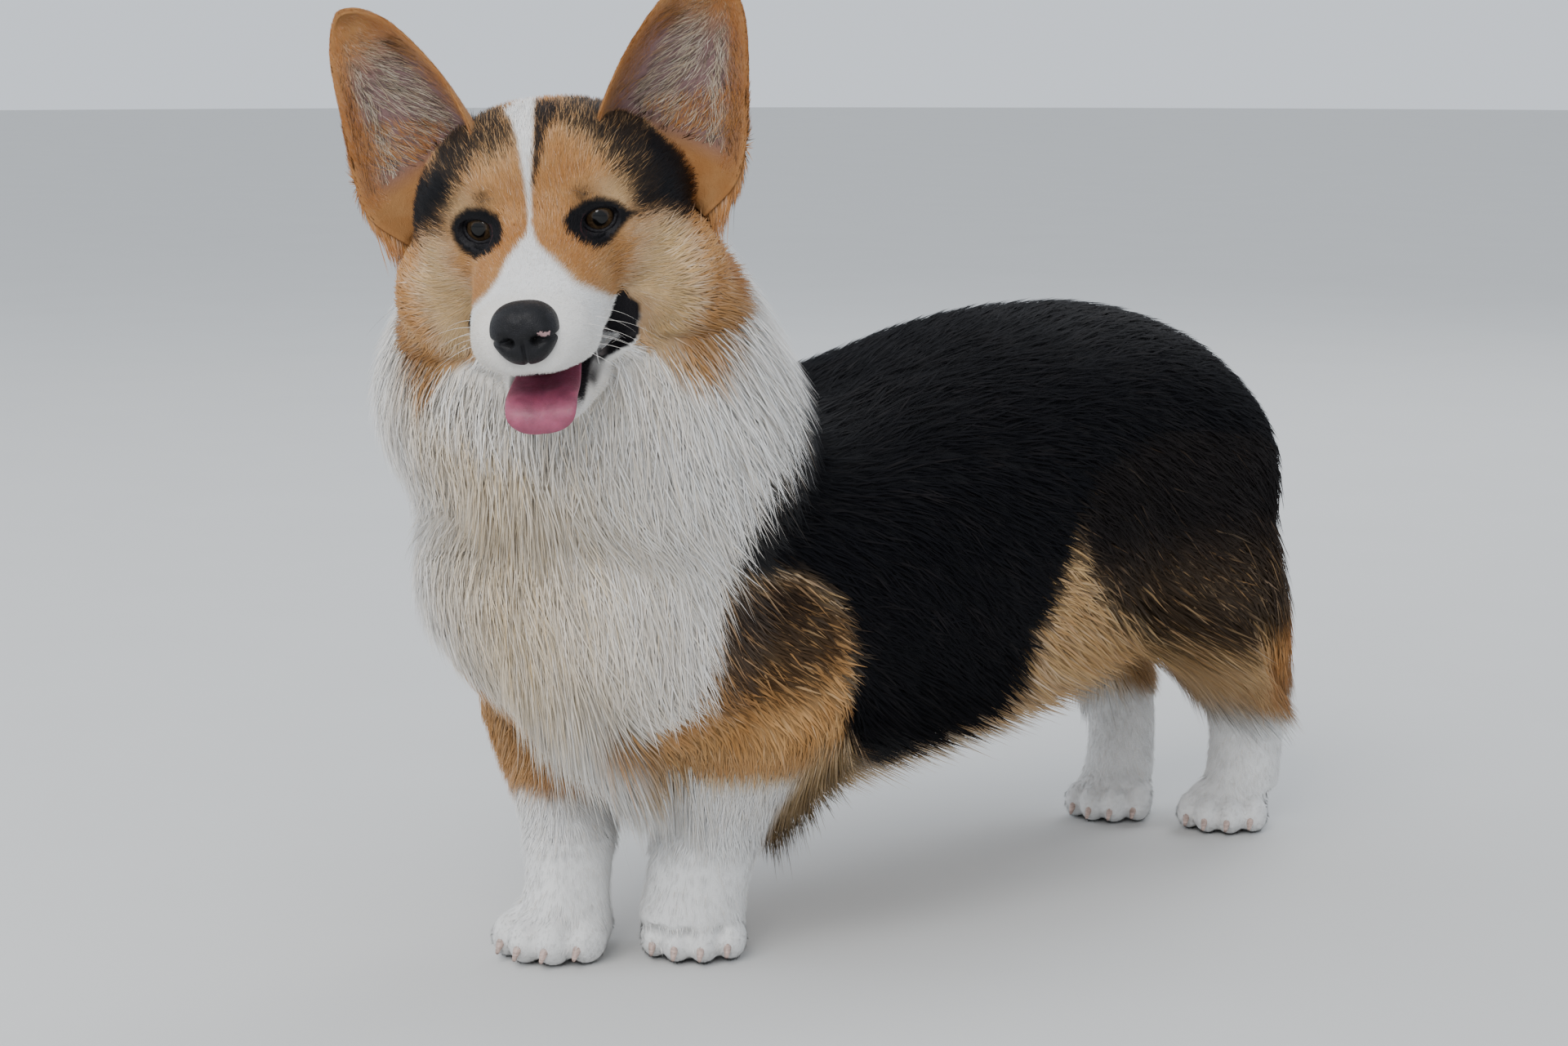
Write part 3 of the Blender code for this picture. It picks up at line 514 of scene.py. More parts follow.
def head_ball(name, centre, radii, side=1.0, turn=None):
    centre = Vector((side * centre[0], centre[1], centre[2]))
    turn = HEAD_FRAME.to_3x3() @ (turn or Matrix()).to_3x3()
    return ball(name, HEAD_FRAME @ centre, radii, turn)


def one_skin(name, pieces, voxel, smoothing):
    """Fuses overlapping forms into one even skin."""
    obj = joined(name, pieces)
    applied(obj, "REMESH", mode="VOXEL", voxel_size=voxel)
    if smoothing:
        applied(obj, "SMOOTH", factor=0.5, iterations=smoothing)
    return obj


def combined(obj, other, operation, solver="EXACT"):
    applied(obj, "BOOLEAN", operation=operation, solver=solver, object=other)
    bpy.data.objects.remove(other)
    return obj


def column(items, key, width=1, kind=float):
    """One value of every item of a mesh, as an array."""
    made = np.empty(len(items) * width, kind)
    items.foreach_get(key, made)
    return made.reshape(-1, width) if width > 1 else made


def points_of(mesh):
    return column(mesh.vertices, "co", 3)


def set_points(mesh, co):
    mesh.vertices.foreach_set("co", np.asarray(co, np.float32).ravel())
    mesh.update()


def above_floor(obj, height):
    """Presses flat what reaches below a height."""
    co = points_of(obj.data)
    co[:, 2] = np.maximum(co[:, 2], height)
    set_points(obj.data, co)


def tree_of(obj):
    return BVHTree.FromObject(obj, bpy.context.evaluated_depsgraph_get())


def mark_part(obj, part):
    """Notes on every face which form it belongs to, in a way that a union keeps."""
    slots = obj.data.materials
    slots.clear()
    for k in range(LID_PART + 1):
        name = f"part_{k}"
        slots.append(bpy.data.materials.get(name) or bpy.data.materials.new(name))
    faces = obj.data.polygons
    faces.foreach_set("material_index", np.full(len(faces), part, np.int32))
    return obj


def jaw_turn():
    hinge = Matrix.Translation(JAW_HINGE)
    return hinge @ Matrix.Rotation(math.radians(JAW_OPEN), 4, "X") @ hinge.inverted()


def mouth_space():
    """The open mouth, between the upper lip and the top of the lowered jaw."""
    upper = [Vector((0, along, height)) for along, height in LIP_LINE]
    lower = [jaw_turn() @ Vector((0, along, top - MOUTH_DROP)) for along, top, _, _ in JAW[1:]]
    side = upper + [lower[-1] + Vector((0, -0.040, 0))] + lower[::-1]
    return loft(
        "mouth",
        [
            [HEAD_FRAME @ (point + Vector((x, 0, 0))) for point in side]
            for x in (-MOUTH_HALF_WIDTH, MOUTH_HALF_WIDTH)
        ],
    )


def eye_frame(side):
    """The eye's own frame: zero at its middle, -Y to where it looks."""
    return (
        HEAD_FRAME
        @ Matrix.Translation((side * EYE_APART / 2, -EYE_BACK, 0.0))
        @ Matrix.Rotation(math.radians(side * EYE_TURN), 4, "Z")
    )


LID_STEPS = 64
LID_WIDE, LID_UP, LID_DOWN = 0.0068, 0.0046, 0.0053
LID_TILT = 9.0
LID_POWER = 1.75
# How much thicker the upper lid is, and over which part of the section
LID_SWELL, LID_SWELL_FROM, LID_SWELL_TO = 0.0006, 0.0005, 0.006
# How far the lids' bed and the rim's root lie off the eyeball
LID_BED, LID_ROOT = 0.0012, 0.0014
# The opening before the eyeball: how far ahead, and its size over the almond's
EYE_HOLE = ((-0.002, 0.9), (0.0075, 1.25), (0.030, 1.6))
# Across the lid's edge: how far out along the eye, how far off the eyeball
LID_SECTION = mm((
    (-0.2, -0.6), (-0.3, 0.4), (0.1, 1.2), (0.8, 1.7), (1.8, 1.9), (3.2, 1.7), (5.2, 0.9),
    (6.2, -1), (3, -2),
))


def lid_edge(angle):
    """The almond between the lids: how far it lies from the eye's middle at an angle."""
    c, s = math.cos(angle), math.sin(angle)
    tall = LID_UP if s > 0 else LID_DOWN
    return (abs(c / LID_WIDE) ** LID_POWER + abs(s / tall) ** LID_POWER) ** (-1 / LID_POWER)


def lid_frame(side):
    """The eye's frame, tilted as the almond is."""
    return eye_frame(side) @ Matrix.Rotation(math.radians(-side * LID_TILT), 4, "Y")


def lid_rim(side):
    """The rim of both lids, a rounded ring that hugs the eyeball."""
    matrix = lid_frame(side)
    points = []
    for k in range(LID_STEPS):
        angle = 2 * math.pi * k / LID_STEPS
        c, s = math.cos(angle), math.sin(angle)
        reach = math.asin(min(0.95, lid_edge(angle) / EYE_RADIUS))
        for out, off in LID_SECTION:
            turn = reach + out / EYE_RADIUS
            swell = LID_SWELL * max(0.0, s) if LID_SWELL_FROM < out < LID_SWELL_TO else 0.0
            radius = EYE_RADIUS + off + swell
            flat = radius * math.sin(turn)
            points.append(matrix @ Vector((flat * c, -radius * math.cos(turn), flat * s)))
    rim = shell("lids", points, hoops(LID_STEPS, len(LID_SECTION), closed=True))
    return applied(rim, "SUBSURF", levels=1, render_levels=1)


def eye_hole(side):
    """Opens the skin before the eyeball, a little wider than the lids' inner edge."""
    matrix = lid_frame(side)
    rings = []
    for ahead, spread in EYE_HOLE:
        almond = oval(LID_WIDE * spread, LID_UP * spread, LID_DOWN * spread)
        rings.append([matrix @ Vector((x, -ahead, z)) for x, z in almond])
    return loft("opening", rings)


def dabbed(obj, dabs):
    """Pushes and pulls the head's skin about given places on both sides."""
    world = points_of(obj.data)
    co = in_head(world)
    moved = np.zeros_like(co)
    for centre, reach, shift in dabs:
        for side in (-1, 1) if centre[0] else (1,):
            flip = np.array((side, 1, 1))
            far = np.linalg.norm(co - np.array(centre) * flip, axis=1) / reach
            moved += ramp(far, 1.0, 0.0)[:, None] * np.array(shift) * flip
    set_points(obj.data, world + from_head(moved))


def head_skin():
    """Skull, muzzle and jaw under one skin, with the mouth and the eyes' openings cut."""
    pieces = [
        head_loft("skull", SKULL, HEAD_DEPTH, 2.2),
        head_loft("muzzle", MUZZLE, MUZZLE_DEPTH, 2.3),
        head_ball("throat", THROAT_AT, THROAT_SIZE),
    ]
    for side in (-1, 1):
        for centre, size, depth in HEAD_FORMS:
            pieces.append(head_ball("form", centre, [r - depth for r in size], side))
        pieces.append(ball("lids", eye_frame(side).translation, (EYE_RADIUS + LID_BED,) * 3))
    head = one_skin("head", pieces, HEAD_VOXEL, SKIN_SMOOTHING)
    dabbed(head, HEAD_DABS)
    whole = tree_of(head)
    for side in (-1, 1):
        bed = ball("lids", eye_frame(side).translation, (EYE_RADIUS + LID_ROOT,) * 3)
        combined(head, bed, "UNION")
    combined(head, mouth_space(), "DIFFERENCE")
    jaw = head_loft("jaw", JAW, MUZZLE_DEPTH, 2.2, jaw_turn())
    jaw = one_skin("jaw", [jaw], HEAD_VOXEL, JAW_SMOOTHING)
    jaw_shape = tree_of(jaw)
    head = one_skin("head", [head, jaw], HEAD_VOXEL, JOINT_SMOOTHING)
    mark_part(head, HEAD_PART)
    for face in head.data.polygons:
        _, _, _, deep = whole.find_nearest(face.center)
        _, _, _, off_jaw = jaw_shape.find_nearest(face.center)
        if deep > MOUTH_DEEP and off_jaw > OFF_JAW:
            face.material_index = MOUTH_PART
    for side in (-1, 1):
        combined(head, mark_part(eye_hole(side), MOUTH_PART), "DIFFERENCE")
        combined(head, mark_part(lid_rim(side), LID_PART), "UNION")
    return head


def ear_grid(side, offset):
    """Points of the cupped ear, in rows up its length, moved off its middle sheet."""
    along = EAR_TIP - EAR_ROOT
    back = Matrix.Rotation(math.radians(EAR_FACING), 3, "Z") @ Vector((0, 1, 0))
    outward = back.cross(along).normalized()
    back = along.cross(outward).normalized()
    share, wide, cupping = smooth_table(EAR_ROWS, 4).T
    angle = np.radians(cupping)[:, None]
    radius = wide[:, None] / np.sin(np.minimum(angle, math.pi / 2))
    across = np.linspace(-1, 1, EAR_COLUMNS + 1)[None, :]
    turn = angle * across
    points = (
        np.array(EAR_ROOT)
        + np.array(along) * share[:, None, None]
        + np.array(outward) * (radius * np.sin(turn))[..., None]
        + np.array(back) * (radius * (np.cos(turn) - 0.75))[..., None]
    )
    rows = np.gradient(points, axis=0)
    columns = np.gradient(points, axis=1)
    front = -unit(np.cross(rows, columns))
    front *= np.sign((front * -np.array(back)).sum(-1).mean())
    thin = np.minimum(1.0, 0.35 + 6.0 * (1 - np.abs(across)))[..., None]
    points = points + front * offset * thin
    points[..., 0] *= side
    front = front * np.array((side, 1, 1))
    shape = points.shape
    points = turned(points.reshape(-1, 3), HEAD_FRAME).reshape(shape)
    return points, from_head(front.reshape(-1, 3)).reshape(shape), share, across[0]


def ear_skin(side):
    """One ear, a thin shell that is rounded at its rim."""
    sheets = [ear_grid(side, offset)[0] for offset in (EAR_THICK / 2, -EAR_THICK / 2)]
    index = np.arange(2 * sheets[0].size // 3).reshape(2, *sheets[0].shape[:2])
    faces, rims = [], []
    for at in index:
        around = (at[:-1, :-1], at[:-1, 1:], at[1:, 1:], at[1:, :-1])
        faces += np.stack(around, 2).reshape(-1, 4).tolist()
        rims.append(np.concatenate([at[:, 0], at[-1, 1:], at[-2::-1, -1], at[0, -2:0:-1]]))
    front, back = rims
    faces += stacked(front, np.roll(front, -1), np.roll(back, -1), back).tolist()
    points = np.concatenate(sheets).reshape(-1, 3).tolist()
    return mark_part(shell("ear", points, faces), EAR_PART)


def paw_matrix(name):
    across, along, outwards, size = PAWS[name]
    return (
        Matrix.Translation((across, along, 0))
        @ Matrix.Rotation(math.radians(outwards), 4, "Z")
        @ Matrix.Scale(size, 4)
    )


def paw_skin(name):
    """A paw with four toes, flat on the floor."""
    matrix = paw_matrix(name)
    size = PAWS[name][3]
    turn = matrix.to_3x3() * (1 / size)
    side = math.copysign(1.0, PAWS[name][0])
    inset = Vector((LEG_DEPTH[1][0],) * 3)
    pieces = [
        loft("wrist", upright(LEGS[name][-3:], side, LEG_DEPTH)),
        ball("pad", matrix @ PAD_AT, PAD_SIZE * size - inset, turn),
    ]
    for x, y, wide in TOES:
        toe = Vector((wide, TOE_HALF_LENGTH, TOE_HEIGHT)) * size - inset * 0.7
        pieces.append(ball("toe", matrix @ Vector((x, y, TOE_HEIGHT - TOE_SINK)), toe, turn))
    paw = one_skin(name, pieces, PAW_VOXEL, PAW_SMOOTHING)
    above_floor(paw, SOLE_HEIGHT)
    return mark_part(paw, PAW_PART)


def whole_skin():
    """Every fleshy form of the dog under one closed skin."""
    pieces = [loft("trunk", trunk_rings()), loft("neck", upright(NECK, 1.0, BIB_DEPTH))]
    for name, table in LEGS.items():
        pieces.append(loft("leg", upright(table, math.copysign(1.0, PAWS[name][0]), LEG_DEPTH)))
    droop = Matrix.Rotation(math.radians(-TAIL_DROOP), 3, "X")
    pieces.append(ball("tail", TAIL_AT, TAIL_SIZE, droop))
    body = mark_part(one_skin("skin", pieces, BODY_VOXEL, SKIN_SMOOTHING), TRUNK_PART)
    for name in PAWS:
        combined(body, paw_skin(name), "UNION")
    head = head_skin()
    for side in (-1, 1):
        combined(head, ear_skin(side), "UNION")
    combined(body, head, "UNION")
    applied(body, "TRIANGULATE")
    return body


def unwrap(obj):
    """Lays the skin out flat, in a map of its own."""
    choose(obj)
    for layer in list(obj.data.uv_layers):
        obj.data.uv_layers.remove(layer)
    obj.data.uv_layers.new(name="OFBake")
    bpy.ops.object.mode_set(mode="EDIT")
    bpy.ops.mesh.select_all(action="SELECT")
    bpy.ops.uv.smart_project(angle_limit=math.radians(66), island_margin=0.001)
    bpy.ops.object.mode_set(mode="OBJECT")


def read_skin(obj):
    """What the coat needs to know of the skin, as arrays in the tables' frame."""
    mesh = obj.data
    mesh.calc_loop_triangles()
    triangles = mesh.loop_triangles
    corners, loops = (column(triangles, key, 3, np.int32) for key in ("vertices", "loops"))
    faces = column(triangles, "polygon_index", 1, np.int32)
    co, normals = points_of(mesh), column(mesh.vertices, "normal", 3)
    sides = co[corners]
    one, other = sides[:, 1] - sides[:, 0], sides[:, 2] - sides[:, 0]
    WORK.update(
        corners=corners,
        co=co,
        normals=normals,
        uv=column(mesh.uv_layers["OFBake"].data, "uv", 2)[loops],
        part=column(mesh.polygons, "material_index", 1, np.int32)[faces],
        middle=sides.mean(1),
        facing=unit(normals[corners].sum(1)),
        area=np.linalg.norm(np.cross(one, other), axis=1) / 2,
        tree=BVHTree.FromPolygons(co.tolist(), corners.tolist()),
    )


def need_skin():
    if "tree" not in WORK:
        raise RuntimeError("the skin is made first, because the coat grows from it")


SIDES = ((-1, "right"), (1, "left"))


def nearest(points):
    """The skin's nearest points and normals, and the triangles that they lie on."""
    find = WORK["tree"].find_nearest
    near = np.empty((len(points), 3))
    normal = np.empty((len(points), 3))
    face = np.empty(len(points), np.int64)
    for i, point in enumerate(points.tolist()):
        near[i], normal[i], face[i], _ = find(point)
    return near, normal, face


def kd_of(points):
    tree = KDTree(len(points))
    for k, point in enumerate(points):
        tree.insert(point, k)
    tree.balance()
    return tree


def face_plane(h):
    """Head points seen from inside the head, spread flat round the way that the nose points."""
    r = h - np.array((0.0, 0.045, -0.030))
    turn = np.arccos(np.clip(-r[:, 1] / np.linalg.norm(r, axis=1), -1, 1))
    return r[:, [0, 2]] * (turn / np.maximum(np.hypot(r[:, 0], r[:, 2]), 1e-9))[:, None]


def within(points, outline, soft):
    """1 inside an outline and 0 outside, eased over soft to both sides of it."""
    outline = np.asarray(outline, float)
    x, y = points.T
    inside = np.zeros(len(points), bool)
    far = np.full(len(points), 1e9)
    for a, b in zip(outline, np.roll(outline, -1, axis=0)):
        edge = b - a
        t = np.clip(((points - a) @ edge) / max(edge @ edge, 1e-12), 0, 1)
        far = np.minimum(far, np.linalg.norm(points - (a + t[:, None] * edge), axis=1))
        if a[1] != b[1]:
            crosses = (a[1] > y) != (b[1] > y)
            inside ^= crosses & (x < a[0] + (y - a[1]) * edge[0] / edge[1])
    return ramp(np.where(inside, far, -far), -soft, soft)


def on_face(flat, outline, soft):
    return within(flat, face_plane(np.array(outline, float)), soft)


def on_either(flat, outlines, soft):
    """The stronger of a right and a left outline."""
    return np.maximum(*(on_face(flat, outline, soft) for outline in outlines))


def grown_outline(outline, scale):
    flat = face_plane(np.array(outline, float))
    return flat.mean(0) + (flat - flat.mean(0)) * scale


# The head's markings, as their corners on the head
BLAZE = mm((
    (-10, 42, 47), (-14.6, 24, 44), (-9.6, 10, 42), (-6.1, -2, 36), (-4.5, -10, 28),
    (-3.7, -13, 19), (-3.4, -15, 11), (-2.7, -23, 4), (-2.8, -28.5, 0), (-6.5, -34.5, -3),
    (-11.4, -42.4, -7.5), (-14.7, -54, -13), (-19, -62, -17), (-27, -56, -24), (-31, -40, -32),
    (-34.5, -16, -40), (-40, -6, -62), (-56, 8, -72), (-64, 16, -82), (-50, 20, -120),
    (50, 20, -120), (64, 13, -84), (57.1, -1.3, -81), (48, -4, -73), (37.6, -6.5, -64),
    (40, -8, -48), (34.5, -13, -37), (32, -31, -33), (29, -44.4, -25.8), (25.6, -54.9, -20.5),
    (20.3, -58.6, -16.5), (14.8, -51.5, -12), (9.1, -44.5, -7.9), (2.7, -37, -3.9),
    (0.1, -29.8, -0.1), (-1.3, -23, 3.8), (-1.2, -15.3, 10.6), (-0.4, -13.3, 18.7),
    (0.5, -10.1, 27.6), (1.1, -3.2, 35.7), (0.8, 8.4, 41.8), (-1.1, 30.6, 45.3), (0, 42, 47),
))
EYE_PATCHES = mm((
    (
        (-38.7, -11.7, 2.4), (-36.1, -11.9, 6.6), (-30.5, -13.4, 9.5), (-23.6, -15.6, 9.4),
        (-18.6, -17, 5.7), (-15.8, -23, 0.8), (-16.8, -26, -3.9), (-21.5, -23, -8.5),
        (-29.1, -19.9, -10.1), (-35, -14.3, -7.1), (-38.2, -12.6, -2.5),
    ),
    (
        (14.6, -22.1, 1.9), (17, -17.6, 4.9), (22.7, -15.9, 8.3), (29, -13.9, 8.9),
        (34.9, -12.4, 6.4), (39.4, -11.5, 2), (44, -10, 0.8), (39.8, -11.8, -1.1),
        (33.9, -14.7, -6.3), (29.2, -19.6, -10.1), (25, -23, -10), (20.7, -25, -6.8),
        (16.2, -25, -1.9),
    ),
))
TEMPLES = mm((
    (
        (-66, 29, -15), (-68, 50, 0), (-54, 30, 20), (-47.5, 6, 22.6), (-44.6, -2.4, 18.2),
        (-44, -6.1, 12.5), (-42.7, -9.4, 4.4), (-44.5, -9.2, 0.1), (-52.2, -3.6, -1.1),
        (-61.5, 14.8, -10.6),
    ),
    (
        (46, -8.3, -0.4), (45.4, -7.7, 5), (50.6, -0.6, 11.5), (52.6, 8.9, 17.7), (52, 30, 26),
        (60, 45, 18), (63, 45, -2), (63.6, 33, -14), (63.6, 21.4, -12.5), (60.6, 11.4, -9.6),
        (55.9, 0.8, -3.7), (50.4, -5.4, -1.2),
    ),
))
GRIZZLES = mm((
    (
        (-47.5, 6, 22.6), (-48, 30, 28), (-40, 48, 38), (-25, 44, 44), (-15, 30.7, 43.9),
        (-8.8, 7.7, 41.2), (-5.6, -2.3, 36.2), (-9.8, -5.9, 32.7), (-18.7, -7.4, 28.9),
        (-26.7, -5.9, 27.9), (-32, -10.7, 20.8), (-39.4, -9.4, 10.7), (-44, -6.1, 12.5),
    ),
    (
        (10.8, 40, 45), (30, 48, 43), (42.3, 47.2, 30.8), (54.8, 24.7, 20.3), (52.6, 8.9, 17.7),
        (50.6, -0.6, 11.5), (45.4, -7.7, 5), (39.8, -8, 14.4), (32.4, -5.5, 25.5),
        (22.2, -1, 34.2), (11.4, 4.9, 39.8), (7, 7.1, 41.1),
    ),
))
BLAZE_STREAK = mm((
    (-1.2, 30.9, 45.3), (10.8, 31.6, 45), (11.5, 9.4, 41.6), (7.8, 1.4, 38.3), (5.4, -7.7, 30.9),
    (2.7, -12.4, 22.5), (0, -13.5, 17), (0.5, -10.1, 27.6), (1.1, -3.2, 35.7), (0.8, 8.4, 41.8),
))
BROWS = mm(((-23.5, -15, 15), (22, -15.7, 12.4)))
PALE_BROWS = mm(((-36, -10, 12), (37, -9, 11)))
CREAM_CHEEKS = mm((
    (
        (-55, -0.9, -6.6), (-48.5, -6.9, -2.3), (-43.5, -10.5, -6.3), (-42, -11, -17.5),
        (-34, -20, -25), (-31, -40, -32), (-36, -10, -50), (-45, 1.6, -64.8), (-53.6, 5.3, -59.4),
        (-56, -4.6, -44.8), (-59.3, -3.8, -33.4), (-62, 1.9, -23.5),
    ),
    (
        (43.7, -10.4, -6.3), (54, -2, -4), (61.3, 12.4, -11.7), (64, 5.8, -21.4),
        (65.9, 2.5, -34.1), (65.3, 5.8, -48.5), (59.2, 7.7, -57.5), (49.9, -0.6, -67.7),
        (40.5, -6.4, -68.5), (38.5, -3.6, -56.7), (41, -8.5, -42), (32.5, -11, -34.2),
        (39.6, -12.2, -23), (44.7, -10, -15.3),
    ),
))
LIP_BAND = mm((
    (35.5, -9.6, -37.5), (39.7, -8.5, -41.9), (39, -6, -49.7), (35, -4.7, -57.4),
    (29.2, -13.7, -61.3), (21.9, -20.1, -64.3), (16.3, -27.3, -63.6), (12, -20, -58),
    (22, -10, -50), (28, -10, -40), (31, -12, -34),
))
UPPER_RIM = mm(((-110, -72, -52, -34, -20, -12), (-46, -53, -54.5, -50, -40, -31)))
LIP_UPPER = mm(((-52, -34, -20, -12, -4), (-54.5, -50, -40, -33, -33)))
JAW_EDGE = mm(((-68, -46, -4), (-70, -63.8, -53.8)))
EYE_SOFT, FADE_SOFT, GRIZZLE_SOFT, TEMPLE_SOFT = 0.022, 0.13, 0.11, 0.12
EYE_PATCH_SCALE = 1.17
# Where the head's own markings end on the neck behind and below it
HEAD_MIDDLE, THROAT_MIDDLE = (0, 0.02, -0.02), (0, 0.02, -0.03)


def near_spot(h, centre, reach):
    return np.exp(-(((h - np.array(centre)) / reach) ** 2).sum(1))


def head_marks(h):
    """Cream, tan, black and richness on the head, from 0 to 1 each."""
    x, y, z = h.T
    flat = face_plane(h)
    rich = 0.40 + 0.40 * ramp(y, 0.012, 0.05)
    pale = on_either(flat, CREAM_CHEEKS, FADE_SOFT)
    tan, cream, rich = mixed(1.0, 0.42, pale), mixed(0.40, 0.95, pale), mixed(rich, 0.15, pale)
    # Richer red beside the nose and in the stop between the eyes: partly the coat's own colour,
    # partly painted shade for the depth there
    beside_nose = np.exp(-((np.abs(x) - 0.018) ** 2 / 0.011**2 + (y + 0.034) ** 2 / 0.020**2))
    between = np.exp(-((x / 0.016) ** 2 + ((z - 0.010) / 0.020) ** 2)) * ramp(y, 0.02, 0.0)
    rich_and_painted_shade = np.clip(beside_nose + 0.7 * between, 0, 1)
    tan, rich = mixed(tan, 1.0, rich_and_painted_shade), np.clip(rich + 0.42 * rich_and_painted_shade, 0, 1)
    for brow in PALE_BROWS:
        spot = near_spot(h, brow, 0.009)
        tan, rich, cream = mixed(tan, 0.72, spot), mixed(rich, 0.1, spot), mixed(cream, 0.9, spot)
    frost = on_either(flat, GRIZZLES, GRIZZLE_SOFT)
    solid = on_either(flat, TEMPLES, TEMPLE_SOFT)
    wide = ramp(np.abs(x), 0.018, 0.040)
    tan, cream, rich = mixed(tan, 0.80, frost), mixed(cream, 0.90, frost), mixed(rich, 0.20, frost)
    black = np.clip((0.74 + 0.14 * wide) * frost + solid, 0, 1)
    nape = ramp(y, 0.046, 0.062) * ramp(z, -0.02, 0.02)
    black = np.maximum(black, 0.72 * nape)
    black = np.maximum(black, 0.85 * on_face(flat, BLAZE_STREAK, 0.03))
    for brow in BROWS:
        black = np.maximum(black, 0.62 * near_spot(h, brow, 0.0046))
    blaze = on_face(flat, BLAZE, EYE_SOFT)
    tan, black = tan * (1 - blaze), black * (1 - blaze)
    cream = mixed(cream, 0.02 + 0.25 * ramp(z, -0.050, -0.075), blaze)
    # Dark flecks under the nose: partly the lip's own speckled hair, partly painted shade under the
    # nose
    speckle_and_shade_under_nose = 0.42 * near_spot(h, (0.003, -0.092, -0.0475), (0.017, 0.014, 0.0062))
    black = np.maximum(black, speckle_and_shade_under_nose)
    for outline in EYE_PATCHES:
        patch = within(flat, grown_outline(outline, EYE_PATCH_SCALE), EYE_SOFT)
        black = np.maximum(black, patch)
    return stacked(cream, tan, black, rich)


# The body's markings from the side, as corners along and up
RUFF_EDGE = mm((
    (130, 151, 171, 191, 215, 238, 258, 282, 300, 360),
    (-224, -214, -213, -213, -204, -196, -175, -159, -150, -140),
))
SADDLE = mm((
    (-150, 400), (-150, 300), (-159, 282), (-175, 258), (-196, 238), (-206, 215), (-206, 202),
    (-165, 197), (-146, 184), (-132, 156), (-127, 125), (-122, 94), (-73, 84), (-20, 94), (0, 115),
    (10, 142), (18, 165), (30, 190), (55, 222), (110, 236), (200, 228), (262, 205), (330, 200),
    (330, 400),
))
THIGH = mm((
    (22, 200), (40, 245), (110, 268), (210, 262), (290, 225), (268, 158), (232, 124), (180, 114),
    (115, 128), (70, 150), (45, 170),
))
SHOULDER = mm((
    (-218, 190), (-205, 204), (-165, 200), (-146, 186), (-132, 160), (-150, 140), (-195, 136),
    (-220, 150),
))
SHOULDER_TAN = mm((
    (-222, 150), (-214, 172), (-160, 160), (-145, 186), (-128, 172), (-128, 128), (-126, 104),
    (-150, 90), (-185, 98), (-215, 112), (-228, 125),
))
HAUNCH_TAN = mm((
    (10, 186), (34, 192), (50, 172), (75, 155), (115, 138), (180, 130), (232, 138), (264, 168),
    (275, 168), (280, 100), (245, 74), (200, 84), (150, 108), (90, 112), (40, 120), (12, 135),
))
BODY_SOFT = 0.009
# Length and width of the legs' tufts by height
LEG_LENGTH = (0.03, 0.06, 0.09, 0.12, 0.15), (0.008, 0.011, 0.014, 0.017, 0.020)
LEG_WIDTH = (0.03, 0.10, 0.15), (0.0008, 0.0009, 0.0011)
# The same and the lift on the head, by distance from the nose
NOSE_TIP = (0.0, -0.090, -0.030)
HEAD_LENGTH = (
    (0.012, 0.035, 0.060, 0.085, 0.120, 0.160),
    (0.0024, 0.0042, 0.0065, 0.0085, 0.0120, 0.0170),
)
HEAD_WIDTH = (0.02, 0.06, 0.12), (0.00040, 0.00055, 0.00075)
HEAD_LIFT = (0.02, 0.05, 0.09, 0.14), (0.0006, 0.0011, 0.0020, 0.0034)
BIB_FOOT = mm(((-16, 4, 50), (88, 128, 158)))


